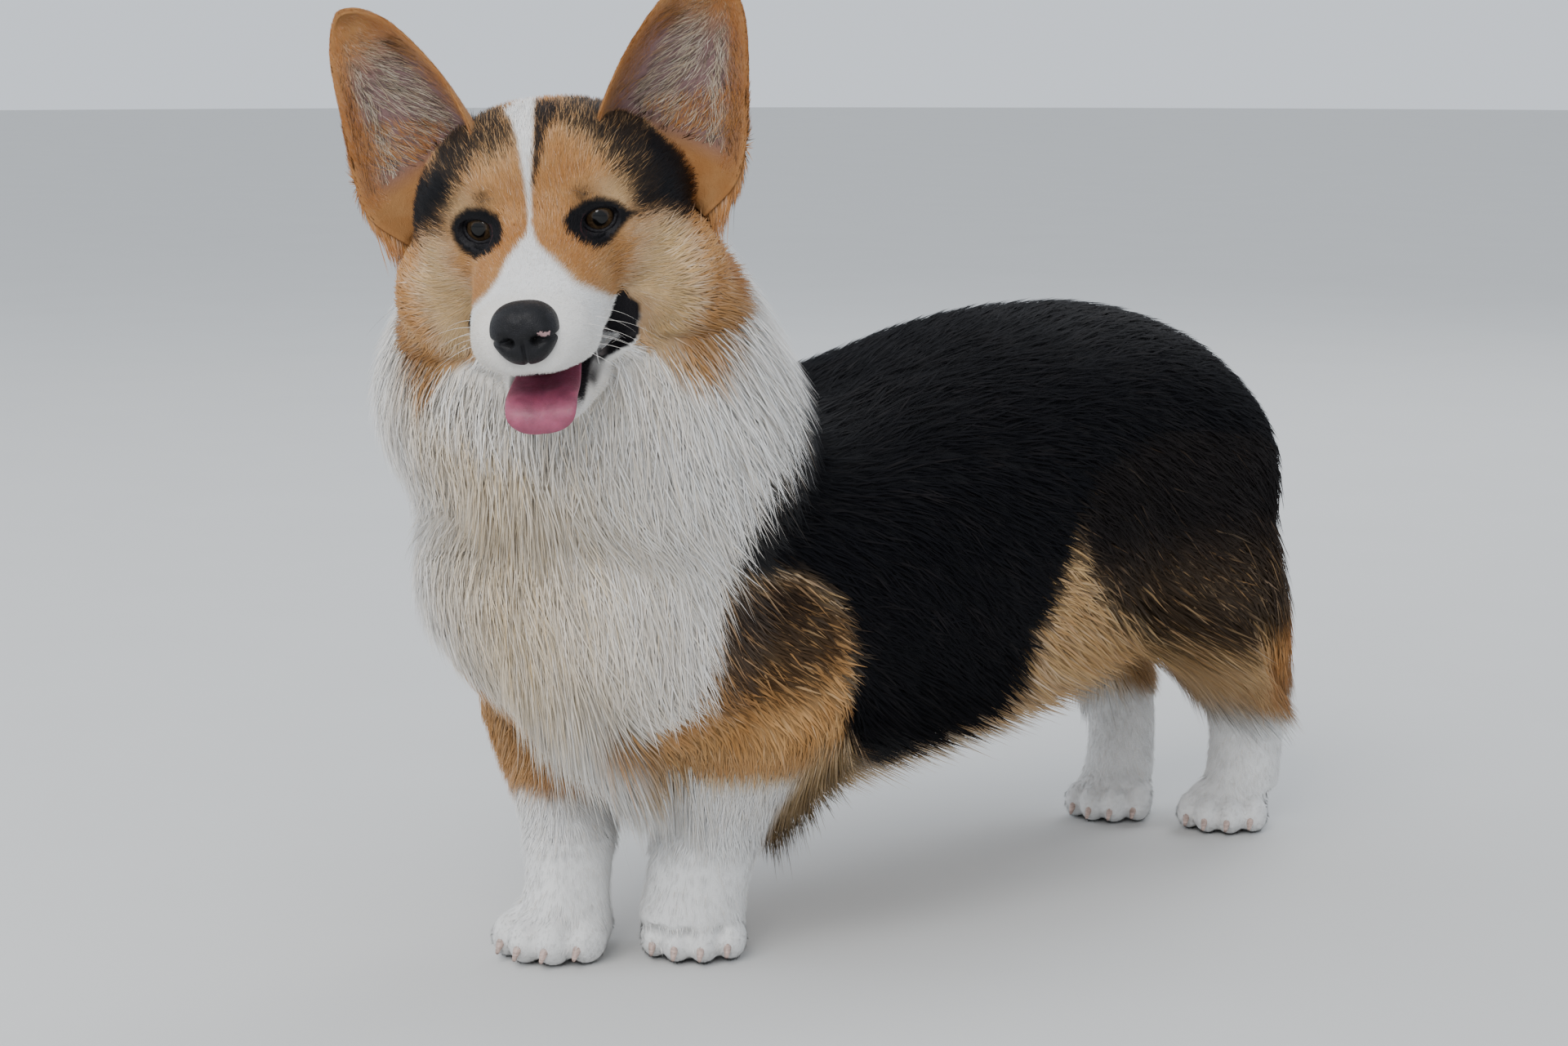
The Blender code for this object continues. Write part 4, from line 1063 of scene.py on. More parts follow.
def body_marks(p, n):
    """Cream, tan, black and richness on the body, from 0 to 1 each."""
    x, y, z = p.T
    side = p[:, [1, 2]]
    right = x < 0.025
    bib = ramp(np.abs(x - 0.025), 0.090, 0.0) * ramp(y, -0.17, -0.24) * ramp(z, 0.09, 0.16)
    ruff_edge = np.interp(z, *RUFF_EDGE)
    behind = ramp(y - ruff_edge, 0.0, 0.012) * ramp(z, 0.088, 0.100) * ramp(y, 0.25, 0.20)
    tan, rich = 0.55 * behind, 0.30 * behind
    cream = mixed(0.12 + 0.56 * bib, 0.80, behind)

    leg_white = np.where(x < 0.016, 0.082, 0.100)
    outer = ramp(np.where(right, -x + 0.009, x - 0.046), -0.005, 0.004)
    bib_foot = np.where(right, np.interp(-x, *BIB_FOOT), 0.135)
    fore = ramp(y, -0.085, -0.105)
    above = ramp(z, leg_white - 0.007, leg_white + 0.005)
    shoulder_tan = within(side, SHOULDER_TAN, BODY_SOFT)
    shoulder_tan = shoulder_tan * np.maximum(outer, ramp(y, -0.190, -0.175))
    front_leg = ramp(z, bib_foot + 0.007, bib_foot - 0.005) * outer
    leg_tan = np.maximum(shoulder_tan, front_leg) * above * fore
    tan, rich = np.maximum(tan, leg_tan), np.maximum(rich, 0.30 * leg_tan)

    haunch = within(side, HAUNCH_TAN, BODY_SOFT * 1.3)
    back_edge = ramp(y, 0.20, 0.235) * ramp(z, 0.16, 0.13)
    tan = np.maximum(tan, haunch * (0.62 + 0.38 * back_edge))
    cream = mixed(cream, 0.95, haunch)
    rich = mixed(rich, 0.35 + 0.45 * back_edge, haunch)

    black = (0.70 + 0.20 * ramp(z, 0.150, 0.190)) * within(side, SHOULDER, BODY_SOFT * 1.4)
    tan = np.maximum(tan, 0.9 * within(side, SHOULDER, BODY_SOFT))
    tan = tan * (1 - ramp(z, leg_white, leg_white - 0.008) * fore)
    thigh = within(side, THIGH, BODY_SOFT * 1.6)
    tan = np.maximum(tan, 0.70 * thigh)
    rich = np.maximum(rich, 0.30 * thigh)
    black = np.maximum(black, thigh * (0.84 + 0.14 * ramp(z, 0.15, 0.20)))
    black = np.maximum(black, within(side, SADDLE, BODY_SOFT))

    keel = ramp(n[:, 2], -0.80, -0.97) * ramp(y, -0.14, -0.09) * ramp(y, 0.10, 0.05)
    black = black * (1 - 0.45 * keel)
    seat = ramp(np.abs(x), 0.042, 0.026) * ramp(y, 0.215, 0.245) * ramp(z, 0.222, 0.205)
    black, tan, cream = black * (1 - seat), tan * (1 - 0.6 * seat), mixed(cream, 0.8, seat)
    foot = np.where(x < 0.014, bib_foot, 0.118)
    ahead = ramp(ruff_edge - y, -0.004, 0.004) * ramp(z, foot, foot + 0.012)
    black, tan = black * (1 - ahead), tan * (1 - ahead)

    legs = np.maximum(ramp(y, -0.134, -0.150), ramp(y, 0.150, 0.180))
    inner = ramp(np.abs(x), 0.034, 0.018) * ramp(z, 0.16, 0.13)
    black = black * (1 - inner * legs)
    low = ramp(z, 0.080, 0.066) * legs
    elbow = ramp(y, -0.095, -0.115)
    tips = ramp(z, 0.098 + 0.016 * elbow, 0.084 + 0.016 * elbow) * (1 - legs)
    black, tan, cream = black * (1 - 0.85 * tips), mixed(tan, 0.40, tips), mixed(cream, 0.95, tips)
    return stacked(cream * (1 - low), tan * (1 - low), black * (1 - low), rich)


def marks_of(p, n, part):
    """The coat's colours at points of the skin."""
    made = body_marks(p, n)
    h = in_head(p)
    head = np.isin(part, (HEAD_PART, LID_PART, MOUTH_PART))
    if head.any():
        near = ramp(far_from(h[head], HEAD_MIDDLE), 0.098, 0.085)
        made[head] = mixed(made[head], head_marks(h[head]), near)
    under = (part == TRUNK_PART) & (far_from(h, THROAT_MIDDLE) < 0.093) & (h[:, 1] < 0.04)
    if under.any():
        near = ramp(far_from(h[under], THROAT_MIDDLE), 0.093, 0.082)
        near = near * ramp(h[under, 1], 0.040, 0.026)
        made[under] = mixed(made[under], head_marks(h[under]), near)
    ears = part == EAR_PART
    if ears.any():
        dark = 0.55 * ramp(h[ears, 2], 0.045, 0.020) * ramp(np.abs(h[ears, 0]), 0.060, 0.036)
        made[ears] = stacked(0.3, 1.0, dark, 0.95)
    return made


def put_attribute(mesh, name, values):
    """A colour for each point of a mesh, which its material reads by name."""
    values = np.asarray(values, float)
    if values.shape[1] == 3:
        values = np.hstack([values, np.ones((len(values), 1))])
    layer = mesh.attributes.new(name, "FLOAT_COLOR", "POINT")
    layer.data.foreach_set("color", values.astype(np.float32).ravel())


def scatter(draw, mask, per_mm2):
    """Roots spread over part of the skin."""
    area = np.cumsum(WORK["area"] * mask)
    count = int(area[-1] * 1e6 * per_mm2 * (1.0))
    chosen = np.minimum(np.searchsorted(area, draw.random(count) * area[-1]), len(area) - 1)
    a, b = draw.random((2, count))
    over = a + b > 1
    a[over], b[over] = 1 - a[over], 1 - b[over]
    share = stacked(1 - a - b, a, b)[..., None]
    corners = WORK["corners"][chosen]
    return {
        "at": (WORK["co"][corners] * share).sum(1),
        "out": unit((WORK["normals"][corners] * share).sum(1)),
        "uv": (WORK["uv"][chosen] * share).sum(1),
        "part": WORK["part"][chosen],
    }


def spun(ways, axes, angle):
    """Directions turned about axes that stand square to them."""
    c, s = np.cos(angle)[:, None], np.sin(angle)[:, None]
    return ways * c + np.cross(axes, ways) * s


def waves(p, size):
    """A slow wander over the body from -1 to 1, for cowlicks."""
    q = p / size
    return (
        np.sin(q[:, 0] * 1.7 + 2.1 * np.sin(q[:, 1] * 0.9 + 1.3))
        + np.sin(q[:, 1] * 1.3 + 1.7 * np.sin(q[:, 2] * 1.1 + 0.4))
        + np.sin(q[:, 2] * 1.9 + 1.9 * np.sin(q[:, 0] * 0.8 + 2.2))
    ) / 3


def body_style(p, n):
    """How the coat lies on the body, and its length, width, lift, hang and clumping."""
    x, y, z = p.T
    right = x < 0.025
    outer = ramp(np.where(right, -x + 0.011, x - 0.050), -0.006, 0.006)
    foot = mixed(0.105, np.where(right, np.interp(-x, *BIB_FOOT) + 0.010, 0.140), outer)
    ruff = ramp(np.interp(z, *RUFF_EDGE) - y, -0.020, 0.020) * ramp(z, foot, foot + 0.030)
    legs = np.maximum(ramp(y, -0.10, -0.13), ramp(y, 0.12, 0.15))
    leg = ramp(z, 0.150, 0.105) * (1 - ruff) * legs
    below = ramp(n[:, 2], -0.15, -0.60)
    belly = below * ramp(z, 0.058, 0.074) * ramp(y, -0.150, -0.115)
    rump = ramp(y, 0.165, 0.225) * ramp(z, 0.085, 0.110) * ramp(z, 0.235, 0.190)
    apron = ramp(n[:, 2], -0.05, -0.55) * ramp(y, -0.10, -0.14) * ramp(z, 0.070, 0.085)
    apron = apron * (1 - outer)

    up = ramp(n[:, 2], 0.3, 0.9)[:, None]
    lie = np.array((0, 0.85, -0.55)) * (1 - up) + np.array((0, 1.0, -0.05)) * up
    lie = mixed(lie, stacked(0.25 * n[:, 0], 0.35 + 0.40 * n[:, 1], -1.0), ruff)
    lie = mixed(lie, stacked(0.0, 0.12 + 0.25 * ramp(y, 0.0, 0.1), -1.0), leg)
    lie = mixed(lie, stacked(0.7 * x / 0.05, 0.45, -1.0), belly)
    lie = mixed(lie, stacked(0.2 * n[:, 0], 0.25, -1.0), rump)

    length = mixed(0.023 + 0.003 * ramp(z, 0.22, 0.29), 0.040, ruff)
    length = mixed(length, np.interp(z, *LEG_LENGTH), leg)
    length = mixed(mixed(mixed(length, 0.036, belly), 0.042, apron), 0.034, rump)
    width = mixed(mixed(0.00120, 0.00064, ruff), np.interp(z, *LEG_WIDTH), leg)
    depth = mixed(np.interp(z, *LEG_DEPTH), BIB_DEPTH * 0.98, ruff)
    lift = depth * mixed(0.72, 1.0, ruff) + 0.0030 * rump + 0.0018 * leg
    hang = np.maximum(np.maximum(0.55 * belly, 0.18 * rump), 0.75 * apron)
    clump = 0.12 + 0.24 * ruff + 0.35 * belly + 0.25 * rump + 0.22 * leg
    return lie, length, width, lift, hang, np.clip(clump, 0, 0.6)


def head_style(p):
    """The same for the head, where the coat runs back from the nose and away from the eyes."""
    h = in_head(p)
    x, y, z = h.T
    far = far_from(h, NOSE_TIP)
    low = ramp(z, -0.030, -0.065)
    cheek = ramp(np.abs(x), 0.040, 0.062) * ramp(z, 0.0, -0.030)
    skirt = ramp(y, -0.006, 0.026) * ramp(z, -0.020, -0.060)
    lie = unit(h - np.array((0.0, -0.100, -0.028)))
    lie = mixed(lie, unit(lie + np.array((0, 0.2, -0.9))), low * ramp(y, -0.05, 0.0))
    lie = mixed(lie, unit(stacked(0.55 * np.sign(x), 0.35, -0.9)), 0.75 * skirt)
    length = np.interp(far, *HEAD_LENGTH) * (1 + 0.45 * cheek + 0.9 * low * ramp(y, -0.02, 0.02))
    length = mixed(length, 0.028, skirt)
    width = np.interp(far, *HEAD_WIDTH) * (1 + 0.3 * cheek)
    lift = np.interp(far, *HEAD_LIFT) * (1 + 0.5 * cheek)
    for side in (-1, 1):
        off = h - in_head(np.array([eye_frame(side).translation]))[0]
        gap = np.linalg.norm(off, axis=1)
        near = ramp(gap, 0.022, 0.014)
        away = off / gap[:, None]
        away[:, 1] *= 0.3
        lie = mixed(lie, unit(0.55 * lie + 0.8 * away), near)
        length, width = mixed(length, 0.0034, near), mixed(width, 0.00042, near)
        lift = mixed(lift, 0.0008, near)
    clump = 0.08 + 0.22 * cheek + 0.2 * skirt
    return from_head(lie), length, width, lift + 0.0045 * skirt, 0.65 * skirt, clump


def style_of(roots):
    p, n, part = roots["at"], roots["out"], roots["part"]
    made = body_style(p, n)
    head = np.isin(part, (HEAD_PART, LID_PART))
    if head.any():
        for values, given in zip(made, head_style(p[head])):
            values[head] = given
    paw = part == PAW_PART
    if paw.any():
        lie, length, width, lift, hang, clump = made
        middle = np.array([PAWS[name][:2] for name in PAWS])
        which = np.argmin(((p[paw][:, None, :2] - middle) ** 2).sum(2), axis=1)
        toes = np.array([paw_matrix(name).to_3x3() @ Vector((0, -1, -0.35)) for name in PAWS])
        top = ramp(p[paw][:, 2], 0.012, 0.030)
        lie[paw] = mixed(toes[which], lie[paw], top)
        length[paw] = mixed(0.0055, 0.0085, top)
        width[paw], lift[paw], clump[paw], hang[paw] = 0.00070, 0.0017, 0.20, 0.0
    return made


# Rings round a tuft: how far along it, and their size
RING_PLANS = {"spike": ((0.0, 1.0),), "bent": ((0.0, 0.60), (0.45, 1.0))}
# A ring's corners over the tuft's width: across, and off the skin
TUFT_SECTION = ((-0.5, -0.08), (0.5, -0.08), (0.0, 0.20))
TUFT_ROUND = 0.12
TUFT_PATCH = 0.0014
# How far along a tuft its colour is taken from the markings
MARK_AT = 0.5


def blades(name, line, out, uv, width, rings, marks, strand, hold):
    """One mesh of tapered tufts: their middle lines, with three sides round each."""
    count, steps = len(line), len(rings)
    per = 3 * steps + 1
    ahead = unit(line[:, -1] - line[:, 0])
    across = unit(np.cross(ahead, out))
    rise = unit(np.cross(across, ahead))
    co, normal = np.empty((2, count, per, 3))
    patch = np.empty((count, per, 2))
    tip = np.ones((count, per))
    for k, (t, size) in enumerate(rings):
        for j, (side, top) in enumerate(TUFT_SECTION):
            at = 3 * k + j
            co[:, at] = line[:, k] + (across * side + rise * top) * (width * size)[:, None]
            round_it = unit(across * side + rise * (top + TUFT_ROUND))
            normal[:, at] = unit(out * hold + round_it * (1 - hold))
            spot = (side * 2 * TUFT_PATCH, (t - 0.5) * TUFT_PATCH + top * TUFT_PATCH)
            patch[:, at] = uv + np.array(spot)
            tip[:, at] = t
    co[:, -1] = line[:, -1]
    normal[:, -1] = out
    patch[:, -1] = uv + np.array((0, TUFT_PATCH))
    pairs = ((1, 0), (2, 1), (0, 2))
    faces = [(0, 1, 2)]
    for low in range(0, 3 * (steps - 1), 3):
        high = low + 3
        for a, b in pairs:
            faces += [(low + a, low + b, high + b), (low + a, high + b, high + a)]
    last = 3 * (steps - 1)
    faces += [(last + a, last + b, per - 1) for a, b in pairs]
    index = (np.arange(count)[:, None, None] * per + np.array(faces)).reshape(-1, 3)
    if len(index) >= MOST_TRIANGLES:
        raise RuntimeError(f"{name} has {len(index)} triangles, over what one piece may have")
    mesh = bpy.data.meshes.new(name)
    mesh.vertices.add(count * per)
    mesh.loops.add(index.size)
    mesh.polygons.add(len(index))
    mesh.vertices.foreach_set("co", co.astype(np.float32).ravel())
    mesh.loops.foreach_set("vertex_index", index.astype(np.int32).ravel())
    mesh.polygons.foreach_set("loop_start", np.arange(0, index.size, 3, dtype=np.int32))
    mesh.polygons.foreach_set("use_smooth", np.ones(len(index), bool))
    mesh.update(calc_edges=True)
    layer = mesh.uv_layers.new(name="OFBake")
    on_loops = patch.reshape(-1, 2)[index.ravel()]
    layer.data.foreach_set("uv", on_loops.astype(np.float32).ravel())
    strand = np.repeat(strand, per)
    put_attribute(mesh, "marks", np.repeat(marks, per, axis=0))
    put_attribute(mesh, "strand", stacked(strand, tip.ravel(), strand))
    if hold:
        mesh.normals_split_custom_set_from_vertices(unit(normal).reshape(-1, 3).astype(np.float32))
    return placed(mesh, name)


def pulled_together(draw, tips, clump, spacing):
    """Draws the tips of neighbours together into locks."""
    count = max(1, int(len(tips) / spacing))
    tree = kd_of(tips[draw.choice(len(tips), count, replace=False)])
    own = np.array([tree.find(tip)[1] for tip in tips.tolist()])
    centre = np.zeros((count, 3))
    np.add.at(centre, own, tips)
    centre /= np.maximum(np.bincount(own, minlength=count), 1)[:, None]
    return mixed(tips, centre[own], clump), own


def grown(name, draw, roots, plan, style, spacing, wander, hold, painted_shade_dim=1.0, marks=None):
    """Grows tufts from their roots, each along the lie of the coat there."""
    p, n = roots["at"], roots["out"]
    lie, length, width, lift, hang, clump = style
    count = len(p)
    rings = RING_PLANS[plan]
    free = unit(lie)
    flat = along_surface(lie, n)
    flat = spun(flat, n, draw.normal(0, wander, count) + 0.20 * waves(p, 0.030))
    length = length * np.exp(draw.normal(0, 0.16, count))
    lift = lift * draw.uniform(0.35, 1.08, count)
    line = np.empty((count, len(rings) + 1, 3))
    line[:, 0] = p - n * np.minimum(0.0012, 0.25 * length)[:, None]
    ends, own = pulled_together(draw, p + flat * length[:, None], clump, spacing)
    way = ends - p
    for k, t in enumerate([t for t, _ in rings[1:]] + [1.0]):
        near, normal, _ = nearest(p + way * t)
        height = (lift * t**0.75)[:, None]
        followed = near + normal * height
        loose = p + (free * length[:, None] * t) + n * height
        line[:, k + 1] = mixed(followed, loose, hang)
    if marks is None:
        marks = marks_of(mixed(line[:, 0], line[:, -1], MARK_AT), n, roots["part"])
    cream, tan, black, rich = marks.T
    sharp = np.clip((black - (0.1 + 0.8 * draw.random(count))) * 5 + 0.5, 0, 1)
    black = mixed(sharp, black, np.where(roots["part"] == TRUNK_PART, 0.45, 0.22))
    tan = np.clip(tan + draw.normal(0, 0.10, count) * (tan > 0.05), 0, 1)
    cream = np.clip(cream + draw.normal(0, 0.12, count), 0, 1)
    shade = 0.55 * draw.random(count) + 0.45 * draw.random(own.max() + 1)[own]
    width = width * draw.uniform(0.75, 1.2, count)
    marks = stacked(cream, tan, black, rich)
    # The tufts' shade is scaled by the factor given for the piece, dimming a whole piece as painted
    # shade
    return blades(name, line, n, roots["uv"], width, rings, marks, shade * painted_shade_dim, hold)


# How light the roots of white hairs stay under the painted shade that darkens the coat towards its
# roots
WHITE_ROOT_SHADE = 0.80


def add_node(tree, kind, **inputs):
    """A node whose inputs are given by name, each a socket or a value."""
    node = tree.nodes.new("ShaderNode" + kind)
    for key, given in inputs.items():
        feed(tree, node.inputs[key.replace("_", " ")], given)
    return node


def feed(tree, socket, given):
    """Links a socket to another, or sets its value. A colour may leave out its alpha."""
    if isinstance(given, bpy.types.NodeSocket):
        tree.links.new(given, socket)
    elif socket.type == "RGBA":
        socket.default_value = (*given, 1.0)[:4]
    else:
        socket.default_value = given


def group_sockets(tree, inputs, outputs):
    """Names a group's inputs, with their values, and its outputs."""
    for name, kind, default in inputs:
        socket = tree.interface.new_socket(name=name, in_out="INPUT", socket_type=kind)
        if default is not None:
            socket.default_value = default
    for name, kind in outputs:
        tree.interface.new_socket(name=name, in_out="OUTPUT", socket_type=kind)
    return tree.nodes.new("NodeGroupInput").outputs, tree.nodes.new("NodeGroupOutput").inputs


def mix_node(tree, factor, a, b):
    """A colour mix. Each of its three inputs is a socket or a value."""
    node = tree.nodes.new("ShaderNodeMix")
    node.data_type = "RGBA"
    for index, given in ((0, factor), (6, a), (7, b)):
        feed(tree, node.inputs[index], given)
    return node.outputs[2]


def math_node(tree, operation, a, b):
    node = tree.nodes.new("ShaderNodeMath")
    node.operation = operation
    for index, given in enumerate((a, b)):
        feed(tree, node.inputs[index], given)
    return node.outputs[0]


def range_node(tree, value, low, high, to_low, to_high):
    node = tree.nodes.new("ShaderNodeMapRange")
    for index, given in enumerate((value, low, high, to_low, to_high)):
        feed(tree, node.inputs[index], given)
    return node.outputs[0]


def noise_node(tree, scale, detail=3.0, rough=0.55, vector=None):
    place = vector or object_place(tree)
    node = add_node(
        tree, "TexNoise", Scale=scale, Detail=detail, Roughness=rough, Vector=place
    )
    return node.outputs["Fac"]


def uneven(tree, scale, low, high, dark, light, detail=4.0):
    """Two colours in a slow wander over a piece."""
    share = range_node(tree, noise_node(tree, scale, detail), low, high, 0.0, 1.0)
    return mix_node(tree, share, dark, light)


def object_place(tree):
    for node in tree.nodes:
        if node.bl_idname == "ShaderNodeTexCoord":
            return node.outputs["Object"]
    return tree.nodes.new("ShaderNodeTexCoord").outputs["Object"]


def coat_tone_group():
    """Mixes the coat's own colours by its markings, with roots, tips and uneven hairs, and with
    painted shade that darkens each hair towards its root.
    """
    found = bpy.data.node_groups.get("coat_tone")
    if found:
        return found
    colours = bpy.context.scene.corgi_coat
    tree = bpy.data.node_groups.new("coat_tone", "ShaderNodeTree")
    inputs = [
        ("Marks", "NodeSocketColor", None),
        ("Richness", "NodeSocketFloat", 0.0),
        ("Along", "NodeSocketFloat", 0.4),
        ("Shade", "NodeSocketFloat", 0.5),
        ("Painted Root Shade", "NodeSocketFloat", 0.6),
    ]
    outputs = [("Colour", "NodeSocketColor"), ("Grain", "NodeSocketFloat")]
    start, end = group_sockets(tree, inputs, outputs)
    creamy, tanned, blackened = add_node(tree, "SeparateColor", Color=start["Marks"]).outputs
    blotch = noise_node(tree, 45.0, 4.0)
    pale = mix_node(tree, creamy, colours.white, colours.cream)
    red = mix_node(tree, start["Richness"], colours.tan, colours.rust)
    faded = range_node(tree, blotch, 0.35, 0.7, 0.0, 0.22)
    rooted = range_node(tree, start["Along"], 0.0, 0.8, 0.16, 0.0)
    for share in (faded, rooted):
        red = mix_node(tree, share, red, colours.cream)
    browned = range_node(tree, start["Shade"], 0.55, 1.0, 0.0, 0.30)
    dark = mix_node(tree, browned, colours.black, colours.brown)
    colour = mix_node(tree, blackened, mix_node(tree, tanned, pale, red), dark)
    by_shade = range_node(tree, start["Shade"], 0.0, 1.0, 0.83, 1.08)
    coloured = math_node(tree, "MAXIMUM", tanned, blackened)
    # Painted shade: each hair darker towards its root, white hair less so, for the shade deep in
    # the coat
    root_painted_shade = range_node(tree, coloured, 0.0, 1.0, WHITE_ROOT_SHADE, start["Painted Root Shade"])
    by_root_shade = range_node(tree, start["Along"], 0.0, 0.55, root_painted_shade, 1.0)
    by_noise = range_node(tree, blotch, 0.3, 0.7, 0.92, 1.05)
    amount = math_node(tree, "MULTIPLY", by_shade, by_root_shade)
    amount = math_node(tree, "MULTIPLY", amount, by_noise)
    scale = tree.nodes.new("ShaderNodeVectorMath")
    scale.operation = "SCALE"
    tree.links.new(colour, scale.inputs[0])
    tree.links.new(amount, scale.inputs["Scale"])
    tree.links.new(scale.outputs[0], end["Colour"])
    tree.links.new(noise_node(tree, 520.0, 2.0), end["Grain"])
    return tree


def new_material(name, **sockets):
    """A material with its one shader, whose plain values are set on its own sockets."""
    made = bpy.data.materials.new(name)
    made.use_nodes = True
    shader = made.node_tree.nodes["Principled BSDF"]
    for key, value in sockets.items():
        shader.inputs[key.replace("_", " ")].default_value = value
    return made, made.node_tree, shader.inputs


def bump_node(tree, height, strength, distance):
    return add_node(tree, "Bump", Strength=strength, Distance=distance, Height=height).outputs[0]


def attribute_of(tree, name):
    node = tree.nodes.new("ShaderNodeAttribute")
    node.attribute_name = name
    return node.outputs


def channels_of(tree, name):
    """The three numbers that an attribute holds."""
    return add_node(tree, "SeparateColor", Color=attribute_of(tree, name)["Color"]).outputs


def coat_tone(tree, painted_root_shade, **inputs):
    """The coat's tone in a material, as its markings give it."""
    marks = attribute_of(tree, "marks")
    tone = tree.nodes.new("ShaderNodeGroup")
    tone.node_tree = coat_tone_group()
    given = {"Marks": marks["Color"], "Richness": marks["Alpha"], "Painted Root Shade": painted_root_shade}
    for key, value in {**given, **inputs}.items():
        feed(tree, tone.inputs[key], value)
    return tone.outputs


def coat_material(name, roughness, painted_root_shade, specular=0.14):
    made, tree, shader = new_material(name, Roughness=roughness, Specular_IOR_Level=specular)
    shade, along, _ = channels_of(tree, "strand")
    tone = coat_tone(tree, painted_root_shade, Along=along, Shade=shade)
    feed(tree, shader["Base Color"], tone["Colour"])
    return made


def skin_material():
    """Skin under the coat: the coat's markings with the painted shade of its roots, and bare black,
    mauve and pink where it shows.
    """
    made, tree, shader = new_material("corgi_skin", Specular_IOR_Level=0.15)
    face = bpy.context.scene.corgi_face
    black, mauve, gums = channels_of(tree, "bare")
    # Along 0.15 gives the skin the painted shade at the hairs' roots
    tone = coat_tone(tree, 0.62, Along=0.15)
    colour = mix_node(tree, black, tone["Colour"], face.lip_colour)
    colour = mix_node(tree, mauve, colour, face.ear_skin_colour)
    feed(tree, shader["Base Color"], mix_node(tree, gums, colour, face.gum_colour))
    wet = math_node(tree, "MAXIMUM", black, gums)
    feed(tree, shader["Roughness"], range_node(tree, wet, 0.0, 1.0, 0.75, 0.38))
    pores = math_node(tree, "ADD", tone["Grain"], noise_node(tree, 1500.0, 2.0))
    feed(tree, shader["Normal"], bump_node(tree, pores, 0.5, 0.0006))
    return made


def tint(name, description, *default):
    return bpy.props.FloatVectorProperty(
        name=name, description=description, subtype="COLOR", default=default, min=0, max=1
    )


class CoatSettings(bpy.types.PropertyGroup):
    """Colours and thickness of the coat."""

    white: tint("White", "White hair of the ruff, blaze and paws", 0.92, 0.915, 0.90)
    cream: tint("Cream", "Warm white hair of the bib and cheeks", 0.68, 0.49, 0.25)
    tan: tint("Tan", "Pale red hair of the cheeks and haunches", 0.49, 0.255, 0.092)
    rust: tint("Rust", "Rich red hair of the ears and forehead", 0.41, 0.145, 0.030)
    black: tint("Black", "Black hair of the saddle and temples", 0.0055, 0.0055, 0.0070)
    brown: tint("Brown", "Lighter hairs among the black ones", 0.026, 0.021, 0.019)
    thickness: bpy.props.FloatProperty(
        name="Thickness",
        description="Share of the full number of tufts",
        default=1.0,
        min=0.05,
        max=1.0,
        subtype="FACTOR",
    )
    seed: bpy.props.IntProperty(
        name="Seed", description="Start of the draws that spread the tufts", default=4152, min=0
    )


class FaceSettings(bpy.types.PropertyGroup):
    """Colours and sizes of the eyes, nose, mouth and claws."""

    iris_colour: tint("Iris", "Brown of the iris", 0.046, 0.028, 0.014)
    nose_colour: tint("Nose", "Leather of the nose", 0.004, 0.004, 0.005)
    lip_colour: tint("Lips", "Bare skin of the lips and lids", 0.009, 0.008, 0.010)
    ear_skin_colour: tint("Ear Skin", "Bare skin inside the ears", 0.20, 0.12, 0.115)
    gum_colour: tint("Gums", "Inside of the mouth", 0.10, 0.028, 0.032)
    tongue_colour: tint("Tongue", "Pink of the tongue", 0.34, 0.072, 0.130)
    claw_colour: tint("Claws", "Horn of the claws", 0.60, 0.44, 0.38)
    whisker_length: bpy.props.FloatProperty(
        name="Whiskers",
        description="Length of the longest whiskers",
        default=0.030,
        unit="LENGTH",
        min=0.01,
        max=0.08,
    )


class StageSettings(bpy.types.PropertyGroup):
    """Floor and light."""

    floor_colour: tint("Floor", "Colour of the studio floor", 0.62, 0.62, 0.61)
    key_power: bpy.props.FloatProperty(
        name="Key Light",
        description="Power of the large light above",
        default=62.0,
        unit="POWER",
        min=0,
    )
    sky_strength: bpy.props.FloatProperty(
        name="Sky", description="Strength of the light all round", default=1.0, min=0, max=5
    )


class CORGI_OT_skin(bpy.types.Operator):
    """Build the skin that carries the coat, with lids, lips and ears"""

    bl_idname = "corgi.skin"
    bl_label = "Skin"

    def execute(self, context):
        skin = whole_skin()
        unwrap(skin)
        read_skin(skin)
        corners, part = WORK["corners"], WORK["part"]
        on_points = np.zeros(len(skin.data.vertices), np.int32)
        for k in range(3):
            on_points[corners[:, k]] = part
        for k in range(3):
            for kind in (MOUTH_PART, LID_PART):
                on_points[corners[part == kind, k]] = kind
        put_attribute(skin.data, "marks", marks_of(WORK["co"], WORK["normals"], on_points))
        put_attribute(skin.data, "bare", bare_marks(WORK["co"], on_points))
        faces = skin.data.polygons
        faces.foreach_set("material_index", np.zeros(len(faces), np.int32))
        choose(skin)
        bpy.ops.object.shade_smooth()
        flesh = sorted(set(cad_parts) - OWN_PIECES)
        finished(skin, flesh, skin_material())
        return {"FINISHED"}


def bare_marks(p, part):
    """Where the skin shows bare: black lips and lids, mauve inside the ears, gums."""
    h = in_head(p)
    x, y, z = h.T
    black = (part == LID_PART).astype(float)
    gums, mauve = np.zeros(len(p)), np.zeros(len(p))
    mouth = part == MOUTH_PART
    deep = ramp(np.abs(x), 0.024, 0.016)
    gums[mouth] = deep[mouth]
    lip = (1.0 - deep) * (1 - 0.85 * ramp(y, -0.052, -0.066) * ramp(z, -0.058, -0.062))
    black[mouth] = lip[mouth]
    black = np.maximum(black, lip_skin(h) * (part == HEAD_PART))
    ears = part == EAR_PART
    if ears.any():
        mauve[ears] = ear_inside(p[ears])
    return stacked(black, mauve, gums)


